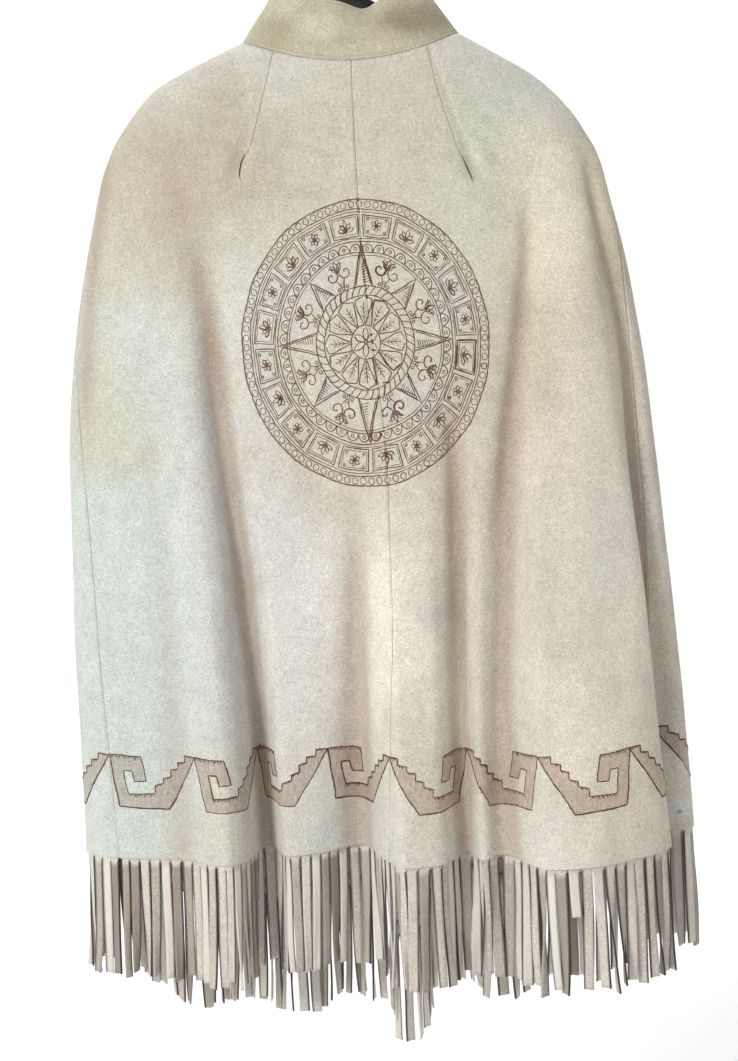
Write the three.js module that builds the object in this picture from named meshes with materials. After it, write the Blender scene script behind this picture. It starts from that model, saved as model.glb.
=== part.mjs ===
// Fringed suede cape hung on a black coat hanger.
// Units are millimetres. The origin is inside the top of the hanger's hook, where it bears on a rail.
// +Z is up, -Y is the wearer's back, and -X is the wearer's left. "down" is a distance below the centre back
// neck seam, and "around" is an angle seen from above: 0 at the centre back, 90 at the wearer's right side,
// 180 at the centre front and 270 (or -90) at the wearer's left side.
import * as THREE from "three";

// ---------------------------------------------------------------- driving dimensions
const HIDE = 1.6; // thickness of the suede
const SEAM_GAP = 0.3; // clearance between two pieces that are sewn together
const STRIP_GAP = 0.9; // clearance between the hem and the strip behind it
const NECK_BELOW_RAIL = 130; // centre back neck seam, below the rail
const BACK_LENGTH = 780; // level of the hem at the back and the sides
const FRONT_DROP_LEFT = 77; // how much lower the hem hangs on the front panels
const FRONT_DROP_RIGHT = 67;
const CORNER_DROP = 57; // extra droop of the wearer's right front corner
const CORNER = { across: 26, fade: 26 }; // where that droop starts to fade, and over what width
const DROP_BEGINS = { around: 105, over: 50 }; // the angles over which the front hem comes down
const NECK_HALF_WIDTH = 107;
const NECK_SIDE_LEVEL = -19; // the neck seam at its two shoulder points
const NECK_BACK_LEVEL = 8;
const NECK_FRONT_LEVEL = 55;
const ROUNDNESS = 0.9; // 1 makes each section an ellipse, and less makes it fuller
const COLLAR_WIDTH = 60;
const COLLAR_THICKNESS = 2.6; // two layers of suede
const FRINGE_LENGTH = 115;
const FRINGE_STRIP = 14; // width of the solid strip that the strands are cut from
const FRINGE_TUCK = 10; // how far that strip reaches up behind the hem
const STRAND_SHARE = 0.86; // a strand's width as a share of its pitch
const FRINGE_END = 0.2; // where the strip stops short of its panel's seams, in pitches
const FRONT_GAP_NECK = 1.2;
const FRONT_GAP_HEM = 7.5;

// ---------------------------------------------------------------- shape tables
// Horizontal sections: half widths to the wearer's left and right, half depths to the back and the front.
const SECTIONS = [
  { down: -20, left: 106, right: 108, back: 26, front: 26 },
  { down: 0, left: 151, right: 141, back: 33, front: 33 },
  { down: 25, left: 198, right: 180, back: 40, front: 38 },
  { down: 50, left: 221, right: 206, back: 46, front: 44 },
  { down: 80, left: 241, right: 229, back: 52, front: 49 },
  { down: 110, left: 254, right: 243, back: 56, front: 54 },
  { down: 150, left: 264, right: 252, back: 60, front: 58 },
  { down: 200, left: 275, right: 263, back: 63, front: 63 },
  { down: 260, left: 286, right: 273, back: 65, front: 67 },
  { down: 320, left: 293, right: 280, back: 67, front: 70 },
  { down: 400, left: 299, right: 286, back: 69, front: 73 },
  { down: 500, left: 300, right: 294, back: 71, front: 76 },
  { down: 600, left: 301, right: 300, back: 73, front: 79 },
  { down: 700, left: 300, right: 306, back: 74, front: 82 },
  { down: 800, left: 299, right: 311, back: 75, front: 85 },
  { down: 900, left: 299, right: 315, back: 76, front: 88 },
];

// Seam lines, as angles around, at each level.
const SEAMS = [
  { down: -20, left: -100, back: 0, right: 100 },
  { down: 100, left: -97, back: 0, right: 95 },
  { down: 200, left: -89, back: 0.3, right: 82 },
  { down: 267, left: -82, back: 1, right: 74 },
  { down: 330, left: -76, back: 1.8, right: 71.5 },
  { down: 400, left: -70, back: 2.5, right: 70.5 },
  { down: 530, left: -66, back: 2.3, right: 69 },
  { down: 640, left: -63.5, back: 1.2, right: 66 },
  { down: 790, left: -61, back: 0, right: 64 },
];

// Crests and valleys in order around the cape. "top" is a fold's distance across from the centre at the level
// FOLD_TOP, "hem" is the same at the hem, "begins" is the share of the drop above which the fold is smooth,
// and "out" is how far it stands out (+) or in (-) at the hem.
const FOLD_TOP = 200;
const BACK_FOLDS = [
  { name: "left edge", top: -1, hem: -1, begins: 0.3, out: 0, atEdge: true },
  { name: "left seam hollow", top: -262, hem: -268, begins: 0.35, out: -8 },
  { name: "left flat", top: -215, hem: -205, begins: 0.25, out: -13 },
  { name: "left crest", top: -182, hem: -150, begins: 0.18, out: 7 },
  { name: "left crest turn", top: -171, hem: -138, begins: 0.2, out: -4 },
  { name: "left valley", top: -155, hem: -121, begins: 0.18, out: -60 },
  { name: "left valley rise", top: -112, hem: -95, begins: 0.25, out: -22 },
  { name: "left middle", top: -62, hem: -70, begins: 0.3, out: -28 },
  { name: "small valley", top: -15, hem: -23, begins: 0.5, out: -54 },
  { name: "seam crest", top: 22, hem: 17, begins: 0.35, out: 30 },
  { name: "seam crest turn", top: 56, hem: 49, begins: 0.35, out: 25 },
  { name: "narrow valley", top: 92, hem: 80, begins: 0.38, out: -12 },
  { name: "narrow crest", top: 138, hem: 92, begins: 0.15, out: 14 },
  { name: "slant valley", top: 160, hem: 110, begins: 0.12, out: 3 },
  { name: "right crest", top: 186, hem: 147, begins: 0.15, out: 58 },
  { name: "right panel", top: 206, hem: 182, begins: 0.12, out: 62 },
  { name: "right fall", top: 220, hem: 222, begins: 0.1, out: 50 },
  { name: "right edge crest", top: 231, hem: 262, begins: 0.08, out: 30 },
  { name: "right seam valley", top: 244, hem: 284, begins: 0.1, out: -24 },
  { name: "right side bulge", top: 256, hem: 302, begins: 0.14, out: -4 },
  { name: "right edge", top: 1, hem: 1, begins: 0.3, out: 0, atEdge: true },
];
const FRONT_FOLDS = [
  { name: "right hip crest", top: 226, hem: 262, begins: 0.15, out: 12 },
  { name: "right hip valley", top: 190, hem: 222, begins: 0.15, out: -30 },
  { name: "right front crest", top: 150, hem: 172, begins: 0.18, out: 26 },
  { name: "right front valley", top: 104, hem: 118, begins: 0.22, out: -34 },
  { name: "right front edge crest", top: 60, hem: 66, begins: 0.25, out: 20 },
  { name: "right front edge", top: 1, hem: 4, begins: 0.3, out: -6 },
  { name: "left front edge", top: -1, hem: -4, begins: 0.3, out: -10 },
  { name: "left front edge crest", top: -42, hem: -44, begins: 0.25, out: 22 },
  { name: "left front valley", top: -86, hem: -90, begins: 0.2, out: -30 },
  { name: "left front crest", top: -134, hem: -146, begins: 0.16, out: 32 },
  { name: "left hip valley", top: -184, hem: -206, begins: 0.14, out: -28 },
  { name: "left hip crest", top: -226, hem: -256, begins: 0.14, out: 14 },
];
const FOLDS = [
  ...BACK_FOLDS.map((fold) => ({ ...fold, front: false })),
  ...FRONT_FOLDS.map((fold) => ({ ...fold, front: true })),
];
const FOLD_GROWTH = { power: 1.25, early: 0.15 }; // how a fold deepens on its way down

// Levels of the rows of points down the cape, as shares of the drop. They crowd where the shoulders turn, and
// the last but one is where the fringe's strip ends behind the hem.
const SHOULDER_ROWS = [0, 0.012, 0.028, 0.05, 0.078, 0.112, 0.155, 0.21];
const DRAPE_ROWS = [0.28, 0.36, 0.45, 0.54, 0.63, 0.72, 0.81, 0.9];
const ROWS = [...SHOULDER_ROWS, ...DRAPE_ROWS, 1 - FRINGE_TUCK / BACK_LENGTH, 1];

// The four panels, in order around from the wearer's left side seam. Each column of points is two fringe
// strands wide, and "opensAt" is the end of a panel that lies at the front opening.
const PANELS = [
  { name: "back_left", columns: 18, opensAt: null },
  { name: "back_right", columns: 18, opensAt: null },
  { name: "front_right", columns: 23, opensAt: "end" },
  { name: "front_left", columns: 23, opensAt: "start" },
];
const STRANDS_PER_COLUMN = 2;

// ---------------------------------------------------------------- curves through tables
const radians = (angle) => (angle * Math.PI) / 180;
const degrees = (angle) => (angle * 180) / Math.PI;
const clamp01 = (value) => Math.min(1, Math.max(0, value));
const mix = (from, to, share) => from + (to - from) * share;
const smooth = (past, width) => clamp01(past / width) ** 2 * (3 - 2 * clamp01(past / width));

// A smooth curve through knots that never overshoots them.
function monotoneCurve(at, value) {
  const step = at.slice(1).map((next, i) => next - at[i]);
  const slope = step.map((width, i) => (value[i + 1] - value[i]) / width);
  const tangent = value.map((_, i) => {
    if (i === 0) return slope[0];
    if (i === slope.length) return slope[i - 1];
    if (slope[i - 1] * slope[i] <= 0) return 0;
    const before = 2 * step[i] + step[i - 1];
    const after = step[i] + 2 * step[i - 1];
    return (before + after) / (before / slope[i - 1] + after / slope[i]);
  });
  return (query) => {
    const x = Math.min(at.at(-1), Math.max(at[0], query));
    let i = 0;
    while (i < step.length - 1 && x > at[i + 1]) i += 1;
    const s = (x - at[i]) / step[i];
    const keep = 1 - s;
    return (
      value[i] * keep * keep * (1 + 2 * s) +
      value[i + 1] * s * s * (3 - 2 * s) +
      step[i] * s * keep * (tangent[i] * keep - tangent[i + 1] * s)
    );
  };
}

const columnCurve = (table, column) =>
  monotoneCurve(
    table.map((row) => row.down),
    table.map((row) => row[column]),
  );
const leftWidth = columnCurve(SECTIONS, "left");
const rightWidth = columnCurve(SECTIONS, "right");
const backDepth = columnCurve(SECTIONS, "back");
const frontDepth = columnCurve(SECTIONS, "front");
const leftSeam = columnCurve(SEAMS, "left");
const backSeam = columnCurve(SEAMS, "back");
const rightSeam = columnCurve(SEAMS, "right");

const halfWidth = (around, down) => (Math.sin(radians(around)) < 0 ? leftWidth(down) : rightWidth(down));
const halfDepth = (around, down) => (Math.cos(radians(around)) > 0 ? backDepth(down) : frontDepth(down));
const rounded = (unit) => Math.sign(unit) * Math.abs(unit) ** ROUNDNESS;

// The smooth section without folds.
function plainPoint(around, down) {
  const x = halfWidth(around, down) * rounded(Math.sin(radians(around)));
  const y = -halfDepth(around, down) * rounded(Math.cos(radians(around)));
  return new THREE.Vector3(x, y, -NECK_BELOW_RAIL - down);
}

// The level of the neck seam: a shallow curve at the back and a deeper one at the front.
function neckLevel(around) {
  const lowest = Math.cos(radians(around)) > 0 ? NECK_BACK_LEVEL : NECK_FRONT_LEVEL;
  const above = (down) => {
    const across = Math.abs(plainPoint(around, down).x) / NECK_HALF_WIDTH;
    return down - lowest + (lowest - NECK_SIDE_LEVEL) * across ** 2;
  };
  let low = NECK_SIDE_LEVEL - 1;
  let high = lowest;
  for (let i = 0; i < 40; i += 1) {
    const middle = (low + high) / 2;
    if (above(middle) > 0) high = middle;
    else low = middle;
  }
  return (low + high) / 2;
}

// The level of the hem, which droops on the front panels and most at the wearer's right front corner.
function hemLevel(around) {
  const turn = (around + 360) % 360;
  const onRight = turn < 180;
  const forward = smooth((onRight ? turn : 360 - turn) - DROP_BEGINS.around, DROP_BEGINS.over);
  const front = (onRight ? FRONT_DROP_RIGHT : FRONT_DROP_LEFT) * forward;
  if (!onRight || turn < 90) return BACK_LENGTH + front;
  const across = rightWidth(BACK_LENGTH) * rounded(Math.sin(radians(turn)));
  return BACK_LENGTH + front + CORNER_DROP * (1 - smooth(across - CORNER.across, CORNER.fade));
}

// How far the folds move the section out at a row, as a curve over the angle around.
function foldCurve(share) {
  const level = mix(NECK_BACK_LEVEL, BACK_LENGTH, share);
  const knots = FOLDS.map((fold) => {
    const grown = clamp01((share - fold.begins) / (1 - fold.begins));
    const width = fold.hem < 0 ? leftWidth : rightWidth;
    const fallen = clamp01((level - FOLD_TOP) / (BACK_LENGTH - FOLD_TOP));
    const travelled = fallen * (2 - fallen); // a fold slants most near its top
    const slanting = mix(fold.top / width(FOLD_TOP), fold.hem / width(BACK_LENGTH), travelled);
    const unit = fold.atEdge ? fold.hem : slanting;
    const angle = degrees(Math.asin(Math.sign(unit) * Math.abs(unit) ** (1 / ROUNDNESS)));
    const depth = grown ** FOLD_GROWTH.power * (1 + FOLD_GROWTH.early * (1 - grown));
    return { at: fold.front ? 180 - angle : angle, out: fold.out * depth };
  });
  const round = [
    ...knots.slice(-2).map((knot) => ({ at: knot.at - 360, out: knot.out })),
    ...knots,
    ...knots.slice(0, 2).map((knot) => ({ at: knot.at + 360, out: knot.out })),
  ];
  return monotoneCurve(
    round.map((knot) => knot.at),
    round.map((knot) => knot.out),
  );
}

const NORMAL_STEP = 0.5; // the turn in degrees over which the outward direction is taken
// One row of the cape as a curve over the angle around, with the angles of its seams.
function clothRow(share) {
  const out = foldCurve(share);
  const levelAt = (around) => mix(neckLevel(around), hemLevel(around), share);
  const point = (around) => {
    const down = levelAt(around);
    const flat = plainPoint(around, down);
    const ahead = plainPoint(around + NORMAL_STEP, down);
    const normal = new THREE.Vector3(ahead.y - flat.y, flat.x - ahead.x, 0).normalize();
    return flat.addScaledVector(normal, out(around));
  };
  const level = mix(NECK_BACK_LEVEL, BACK_LENGTH, share);
  const seams = [leftSeam(level), backSeam(level), rightSeam(level), 180, leftSeam(level) + 360];
  return { point, seams };
}

// Points at even spacing between two angles of a row, kept clear of the seam at each end.
const FINE = 1440; // how many short chords measure a whole row
function evenPoints(row, from, to, count, gapFrom, gapTo) {
  const fine = Math.ceil((FINE * (to - from)) / 360);
  const points = Array.from({ length: fine + 1 }, (_, i) => row.point(mix(from, to, i / fine)));
  const run = [0];
  for (let i = 1; i <= fine; i += 1) run.push(run[i - 1] + points[i].distanceTo(points[i - 1]));
  const length = run[fine];
  let i = 0;
  return Array.from({ length: count + 1 }, (_, k) => {
    const target = mix(gapFrom, length - gapTo, k / count);
    while (i < fine - 1 && run[i + 1] < target) i += 1;
    return points[i].clone().lerp(points[i + 1], (target - run[i]) / (run[i + 1] - run[i]));
  });
}

// ---------------------------------------------------------------- solids from grids
function closedGeometry(points, index) {
  const position = points.flatMap((p) => [p.x, p.y, p.z]);
  return new THREE.BufferGeometry()
    .setAttribute("position", new THREE.Float32BufferAttribute(position, 3))
    .setIndex(index);
}

// A closed solid from two matching grids of points, outer and inner, indexed [row][column].
function wallGeometry(outer, inner) {
  const [lastRow, lastColumn] = [outer.length - 1, outer[0].length - 1];
  const face = (r, c) => r * outer[0].length + c;
  const flesh = (r, c) => outer.flat().length + face(r, c);
  const index = [];
  const quad = (a, b, c, d) => index.push(a, b, c, a, c, d);
  for (let r = 0; r < lastRow; r += 1) {
    for (let c = 0; c < lastColumn; c += 1) {
      quad(face(r, c), face(r + 1, c), face(r + 1, c + 1), face(r, c + 1));
      quad(flesh(r, c), flesh(r, c + 1), flesh(r + 1, c + 1), flesh(r + 1, c));
    }
    quad(face(r, 0), flesh(r, 0), flesh(r + 1, 0), face(r + 1, 0));
    quad(face(r, lastColumn), face(r + 1, lastColumn), flesh(r + 1, lastColumn), flesh(r, lastColumn));
  }
  for (let c = 0; c < lastColumn; c += 1) {
    quad(face(0, c), face(0, c + 1), flesh(0, c + 1), flesh(0, c));
    quad(face(lastRow, c), flesh(lastRow, c), flesh(lastRow, c + 1), face(lastRow, c + 1));
  }
  return closedGeometry([...outer.flat(), ...inner.flat()], index);
}

// A closed solid through rings of points, closed at both ends with a fan.
function loftGeometry(rings) {
  const sides = rings[0].length;
  const index = [];
  rings.slice(1).forEach((_, r) => {
    for (let s = 0; s < sides; s += 1) {
      const a = r * sides + s;
      const b = r * sides + ((s + 1) % sides);
      index.push(a, b, b + sides, a, b + sides, a + sides);
    }
  });
  const last = (rings.length - 1) * sides;
  for (let s = 1; s < sides - 1; s += 1) {
    index.push(0, s + 1, s);
    index.push(last, last + s, last + s + 1);
  }
  return closedGeometry(rings.flat(), index);
}

// ---------------------------------------------------------------- the cape's surface
function panelGrid(rows, panel) {
  const { columns, opensAt } = PANELS[panel];
  return rows.map((row, r) => {
    const opening = mix(FRONT_GAP_NECK, FRONT_GAP_HEM, ROWS[r]) / 2;
    const gapFrom = opensAt === "start" ? opening : SEAM_GAP / 2;
    const gapTo = opensAt === "end" ? opening : SEAM_GAP / 2;
    return evenPoints(row, row.seams[panel], row.seams[panel + 1], columns, gapFrom, gapTo);
  });
}

// Outward normals, taken over neighbours on both sides of a seam so that two panels' edges stay parallel.
function gridNormals(grids) {
  const whole = ROWS.map((_, r) => grids.flatMap((grid) => grid[r]));
  const around = whole[0].length;
  const neighbour = (row, c, direction) => {
    const next = row[(c + direction + around) % around];
    const acrossSeam = next.distanceTo(row[c]) < 2 * SEAM_GAP;
    return acrossSeam ? row[(c + 2 * direction + around) % around] : next;
  };
  const normals = whole.map((row, r) => {
    const [upper, lower] = [whole[Math.max(r - 1, 0)], whole[Math.min(r + 1, whole.length - 1)]];
    return row.map((_, c) => {
      const along = neighbour(row, c, 1).clone().sub(neighbour(row, c, -1));
      return along.cross(upper[c].clone().sub(lower[c])).normalize();
    });
  });
  return grids.map((grid, panel) => {
    const start = grids.slice(0, panel).reduce((sum, before) => sum + before[0].length, 0);
    return normals.map((row) => row.slice(start, start + grid[0].length));
  });
}

const rows = ROWS.map(clothRow);
const outerGrids = PANELS.map((_, panel) => panelGrid(rows, panel));
const normalGrids = gridNormals(outerGrids);
const innerGrids = outerGrids.map((grid, panel) =>
  grid.map((row, r) => row.map((p, c) => p.clone().addScaledVector(normalGrids[panel][r][c], -HIDE))),
);

// ---------------------------------------------------------------- fringe
const STRAND_SPREAD = 4; // how much longer or shorter a strand is cut
const STRAND_SWING = 5; // how far a strand's end hangs out or in
const STRAND_BEND = 0.45; // where along a strand its bend is

// A repeatable spread between -1 and 1 for the small differences between strands.
const fraction = (value) => value - Math.floor(value);
const uneven = (seed) => 2 * fraction(Math.sin(seed * 12.9898) * 43758.5453) - 1;

// One comb: a strip behind the hem with its strands, as one closed surface.
function fringeGeometry(panel) {
  const [above, hem] = innerGrids[panel].slice(-2);
  const normals = normalGrids[panel].at(-1);
  const { columns } = PANELS[panel];
  const count = columns * STRANDS_PER_COLUMN;
  const points = [];
  const index = [];
  const add = (p) => points.push(p) - 1;
  const quad = (a, b, c, d) => index.push(a, b, c, a, c, d);

  // A place on the strip, where "along" counts strands: its upper and lower points, near the hem and far.
  const stripEdge = (along) => {
    const column = along / STRANDS_PER_COLUMN;
    const c = Math.min(columns - 1, Math.floor(column));
    const between = (row) => row[c].clone().lerp(row[c + 1], column - c);
    const top = between(above);
    const hemPoint = between(hem);
    const past = FRINGE_STRIP / FRINGE_TUCK - 1;
    const bottom = hemPoint.clone().addScaledVector(hemPoint.clone().sub(top), past);
    const at = (p, depth) => add(p.clone().addScaledVector(between(normals), -depth));
    const [near, far] = [STRIP_GAP, STRIP_GAP + HIDE];
    return { top: [at(top, near), at(top, far)], bottom: [at(bottom, near), at(bottom, far)] };
  };
  const stripCell = (a, b) => {
    quad(a.top[0], a.bottom[0], b.bottom[0], b.top[0]);
    quad(a.top[1], b.top[1], b.bottom[1], a.bottom[1]);
    quad(a.top[0], b.top[0], b.top[1], a.top[1]);
  };

  // The strand below the cell between two places hangs straight down, with a slight swing of its own.
  const strand = (left, right, k) => {
    const seed = panel * 100 + k + 1;
    const length = FRINGE_LENGTH - FRINGE_STRIP + FRINGE_TUCK + STRAND_SPREAD * uneven(seed);
    const swing = STRAND_SWING * uneven(seed + 31);
    const outwards = normals[Math.floor(k / STRANDS_PER_COLUMN)];
    const root = [left.bottom[0], right.bottom[0], right.bottom[1], left.bottom[1]];
    let upper = root;
    [STRAND_BEND, 1].forEach((share) => {
      const move = new THREE.Vector3(outwards.x, outwards.y, 0).multiplyScalar(swing * share ** 2);
      move.z = -length * share;
      const lower = root.map((corner) => add(points[corner].clone().add(move)));
      [0, 1, 2, 3].forEach((s) => quad(upper[s], lower[s], lower[(s + 1) % 4], upper[(s + 1) % 4]));
      upper = lower;
    });
    quad(upper[0], upper[3], upper[2], upper[1]);
  };

  const margin = (1 - STRAND_SHARE) / 2;
  let previous = null;
  for (let k = 0; k < count; k += 1) {
    const left = stripEdge(Math.max(k + margin, FRINGE_END));
    const right = stripEdge(Math.min(k + 1 - margin, count - FRINGE_END));
    stripCell(left, right);
    strand(left, right, k);
    if (previous) {
      stripCell(previous, left);
      quad(previous.bottom[0], previous.bottom[1], left.bottom[1], left.bottom[0]);
    } else {
      quad(left.top[0], left.top[1], left.bottom[1], left.bottom[0]);
    }
    previous = right;
  }
  quad(previous.top[0], previous.bottom[0], previous.bottom[1], previous.top[1]);
  return closedGeometry(points, index);
}

// ---------------------------------------------------------------- collar
// The stand collar rises from the neck seam, leans in at the sides and has a soft dent at the centre back.
const COLLAR_COLUMNS = 44;
const COLLAR_SHARES = [1, 0.65, 0.3, 0]; // rows from its top edge to the neck seam, as shares of its width
const COLLAR_LEAN_SIDE = 33; // how far the top edge leans in at the sides
const COLLAR_LEAN_BACK = 6;
const DENT = { across: 17, width: 19, drop: 8, depth: 10 }; // where and how the top edge has buckled

function collarPoint(base, share) {
  const side = Math.abs(base.x) / NECK_HALF_WIDTH;
  const leanX = -Math.sign(base.x) * COLLAR_LEAN_SIDE * side ** 1.5 * share;
  const leanY = -Math.sign(base.y) * COLLAR_LEAN_BACK * (1 - side) * share;
  const rise = Math.sqrt((COLLAR_WIDTH * share) ** 2 - leanX ** 2 - leanY ** 2);
  const dent = base.y < 0 ? Math.exp(-(((base.x - DENT.across) / DENT.width) ** 2)) * share ** 2 : 0;
  return new THREE.Vector3(
    base.x + leanX,
    base.y + leanY + DENT.depth * dent,
    base.z + SEAM_GAP + rise - DENT.drop * dent,
  );
}

function collarGrids() {
  const neck = evenPoints(rows[0], 180, 540, COLLAR_COLUMNS, FRONT_GAP_NECK / 2, FRONT_GAP_NECK / 2);
  const outer = COLLAR_SHARES.map((share) => neck.map((base) => collarPoint(base, share)));
  const inner = outer.map((row, r) =>
    row.map((p, c) => {
      const along = row[Math.min(c + 1, row.length - 1)].clone().sub(row[Math.max(c - 1, 0)]);
      const upwards = outer[Math.max(r - 1, 0)][c].clone().sub(outer[Math.min(r + 1, outer.length - 1)][c]);
      return p.clone().addScaledVector(along.cross(upwards).normalize(), -COLLAR_THICKNESS);
    }),
  );
  return [outer, inner];
}

// ---------------------------------------------------------------- hanger
const HANGER_HALF_THICKNESS = 6;
const HANGER_SIDES = 12; // sides of its rounded section
const HANGER_HALF_HEIGHT = 13;
const HANGER_HUMP_LEVEL = -68;
const HANGER_CLEARANCE = 0.5; // between the hanger and the inside of the cape's shoulders
const HOOK_WIRE = 3.6;
const HOOK_RADIUS = 20 + HOOK_WIRE / 2; // of the wire's centre line
const HOOK_SWEEP = { from: -50, to: 200 }; // the arc that hangs on the rail, in degrees from +X towards +Z
const HOOK_STEM_GAP = 6; // between the top of the straight stem and the foot of the circle
const HOOK_EASE = 9; // length of the handles that round the bend between stem and circle

// The upper edge of the hanger between its hump and the neck seam.
const HANGER_NECK = [
  { across: 14, down: -63 },
  { across: 30, down: -53 },
  { across: 60, down: -38 },
  { across: 88, down: -25 },
];
// Beyond the neck the hanger follows the inside of the shoulders. Its half height there, row by row.
const HANGER_ARM = [12, 12, 12, 11, 9];
const HANGER_TIP = { past: 0.45, halfHeight: 6 }; // the tip's place between two rows of the cape

// The highest line of the cape's inside on one side (-1 is the wearer's left), at each row.
function shoulderInside(side) {
  return ROWS.map((_, r) => {
    const row = innerGrids.flatMap((grid) => grid[r]).filter((p) => p.x * side > 0);
    const crossing = row.findIndex((p, i) => i > 0 && p.y * row[i - 1].y <= 0);
    const [before, after] = [row[crossing - 1], row[crossing]];
    const p = before.clone().lerp(after, before.y / (before.y - after.y));
    return { across: Math.abs(p.x), down: -NECK_BELOW_RAIL - p.z };
  });
}

// One arm of the hanger, from the hump outwards.
function hangerArm(side) {
  const inside = shoulderInside(side);
  const arm = HANGER_ARM.map((halfHeight, r) => ({ ...inside[r], halfHeight }));
  const [last, next] = [inside[HANGER_ARM.length - 1], inside[HANGER_ARM.length]];
  arm.push({
    across: mix(last.across, next.across, HANGER_TIP.past),
    down: mix(last.down, next.down, HANGER_TIP.past),
    halfHeight: HANGER_TIP.halfHeight,
  });
  const seated = arm.map((row, i) => {
    const [from, to] = [arm[Math.max(i - 1, 0)], arm[Math.min(i + 1, arm.length - 1)]];
    const run = Math.hypot(to.across - from.across, to.down - from.down);
    return {
      ...row,
      across: row.across - (HANGER_CLEARANCE * (to.down - from.down)) / run,
      down: row.down + (HANGER_CLEARANCE * (to.across - from.across)) / run,
    };
  });
  const neck = HANGER_NECK.map((row) => ({ ...row, halfHeight: HANGER_HALF_HEIGHT }));
  return [...neck, ...seated].map((row) => ({ ...row, across: side * row.across }));
}

function hangerGeometry() {
  const hump = { across: 0, down: HANGER_HUMP_LEVEL, halfHeight: HANGER_HALF_HEIGHT };
  const path = [...hangerArm(1).reverse(), hump, ...hangerArm(-1)];
  const rings = path.map(({ across, down, halfHeight }) =>
    Array.from({ length: HANGER_SIDES }, (_, s) => {
      const angle = (s / HANGER_SIDES) * 2 * Math.PI;
      const y = HANGER_HALF_THICKNESS * Math.sin(angle);
      return new THREE.Vector3(across, y, -NECK_BELOW_RAIL - down + halfHeight * (Math.cos(angle) - 1));
    }),
  );
  return loftGeometry(rings);
}

// The hook: a stem that rises from the hanger, a bend, then most of a circle that hangs on the rail.
class HookArc extends THREE.Curve {
  getPoint(t, target = new THREE.Vector3()) {
    const angle = radians(mix(HOOK_SWEEP.from, HOOK_SWEEP.to, t));
    const centre = HOOK_WIRE / 2 - HOOK_RADIUS;
    return target.set(HOOK_RADIUS * Math.cos(angle), 0, centre + HOOK_RADIUS * Math.sin(angle));
  }
}

function hookPath() {
  const foot = new THREE.Vector3(0, 0, -NECK_BELOW_RAIL - HANGER_HUMP_LEVEL + SEAM_GAP);
  const stemTop = new THREE.Vector3(0, 0, HOOK_WIRE / 2 - 2 * HOOK_RADIUS - HOOK_STEM_GAP);
  const arc = new HookArc();
  const arcStart = arc.getPoint(0);
  const leave = stemTop.clone().setZ(stemTop.z + HOOK_EASE);
  const arrive = arcStart.clone().addScaledVector(arc.getTangent(0), -HOOK_EASE);
  const path = new THREE.CurvePath();
  path.add(new THREE.LineCurve3(foot, stemTop));
  path.add(new THREE.CubicBezierCurve3(stemTop, leave, arrive, arcStart));
  path.add(arc);
  return path;
}

function hookGeometry() {
  const section = new THREE.Shape();
  section.absarc(0, 0, HOOK_WIRE / 2, 0, 2 * Math.PI);
  return new THREE.ExtrudeGeometry(section, {
    extrudePath: hookPath(),
    steps: 44,
    curveSegments: 5,
    bevelEnabled: false,
  });
}

// ---------------------------------------------------------------- the object
const material = (name, color, roughness, metalness) =>
  new THREE.MeshStandardMaterial({ name, color, roughness, metalness });
const suede = material("suede", 0xd2c9b4, 0.95, 0);
const collarSuede = material("collar", 0xbcb296, 0.95, 0);
const fringeSuede = material("fringe", 0xcbc2b2, 0.95, 0);
const blackPlastic = material("hanger", 0x151313, 0.4, 0);
const steel = material("hook", 0xb8b8ba, 0.25, 1);

const cape = new THREE.Group();
function addNode(name, geometry, surface) {
  const mesh = new THREE.Mesh(geometry, surface);
  mesh.name = name;
  cape.add(mesh);
}

PANELS.forEach((panel, i) => {
  addNode(panel.name, wallGeometry(outerGrids[i], innerGrids[i]), suede);
  addNode(`fringe_${panel.name}`, fringeGeometry(i), fringeSuede);
});
addNode("collar", wallGeometry(...collarGrids()), collarSuede);
addNode("hanger", hangerGeometry(), blackPlastic);
addNode("hook", hookGeometry(), steel);

export default cape;
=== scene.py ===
# %% [markdown]
# # A fringed suede cape on a hanger
# The cape is four panels of suede, cut to flare from the shoulders to the hem. Two make the back and meet at a
# seam, two make the front. A stand collar closes the neck, a comb of fringe hangs behind the whole hem, and a
# black hanger carries it all. The back is decorated with a hot pen: a round medallion between the shoulders and
# a band of stepped hooks along the hem. The scene is in metres, +Z up, and -Y is the wearer's back.

import math

import bmesh
import bpy
import numpy as np
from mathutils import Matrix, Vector
from mathutils.bvhtree import BVHTree


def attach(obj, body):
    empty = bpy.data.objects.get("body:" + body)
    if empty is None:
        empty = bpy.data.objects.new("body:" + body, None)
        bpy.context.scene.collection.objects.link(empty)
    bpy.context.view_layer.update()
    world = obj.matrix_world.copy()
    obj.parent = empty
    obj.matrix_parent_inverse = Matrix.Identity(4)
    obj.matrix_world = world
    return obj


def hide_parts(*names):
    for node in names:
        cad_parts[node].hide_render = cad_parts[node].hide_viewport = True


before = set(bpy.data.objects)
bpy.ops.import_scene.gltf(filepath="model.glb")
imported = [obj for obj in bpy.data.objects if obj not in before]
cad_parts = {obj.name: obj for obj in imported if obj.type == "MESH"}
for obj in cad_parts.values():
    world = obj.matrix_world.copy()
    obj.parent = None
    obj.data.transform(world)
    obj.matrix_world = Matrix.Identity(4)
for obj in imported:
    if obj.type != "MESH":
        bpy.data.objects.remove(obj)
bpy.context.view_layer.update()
print("CAD nodes:", sorted(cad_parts))


def add_object(name, data):
    made = bpy.data.objects.new(name, data)
    bpy.context.scene.collection.objects.link(made)
    return made


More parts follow.
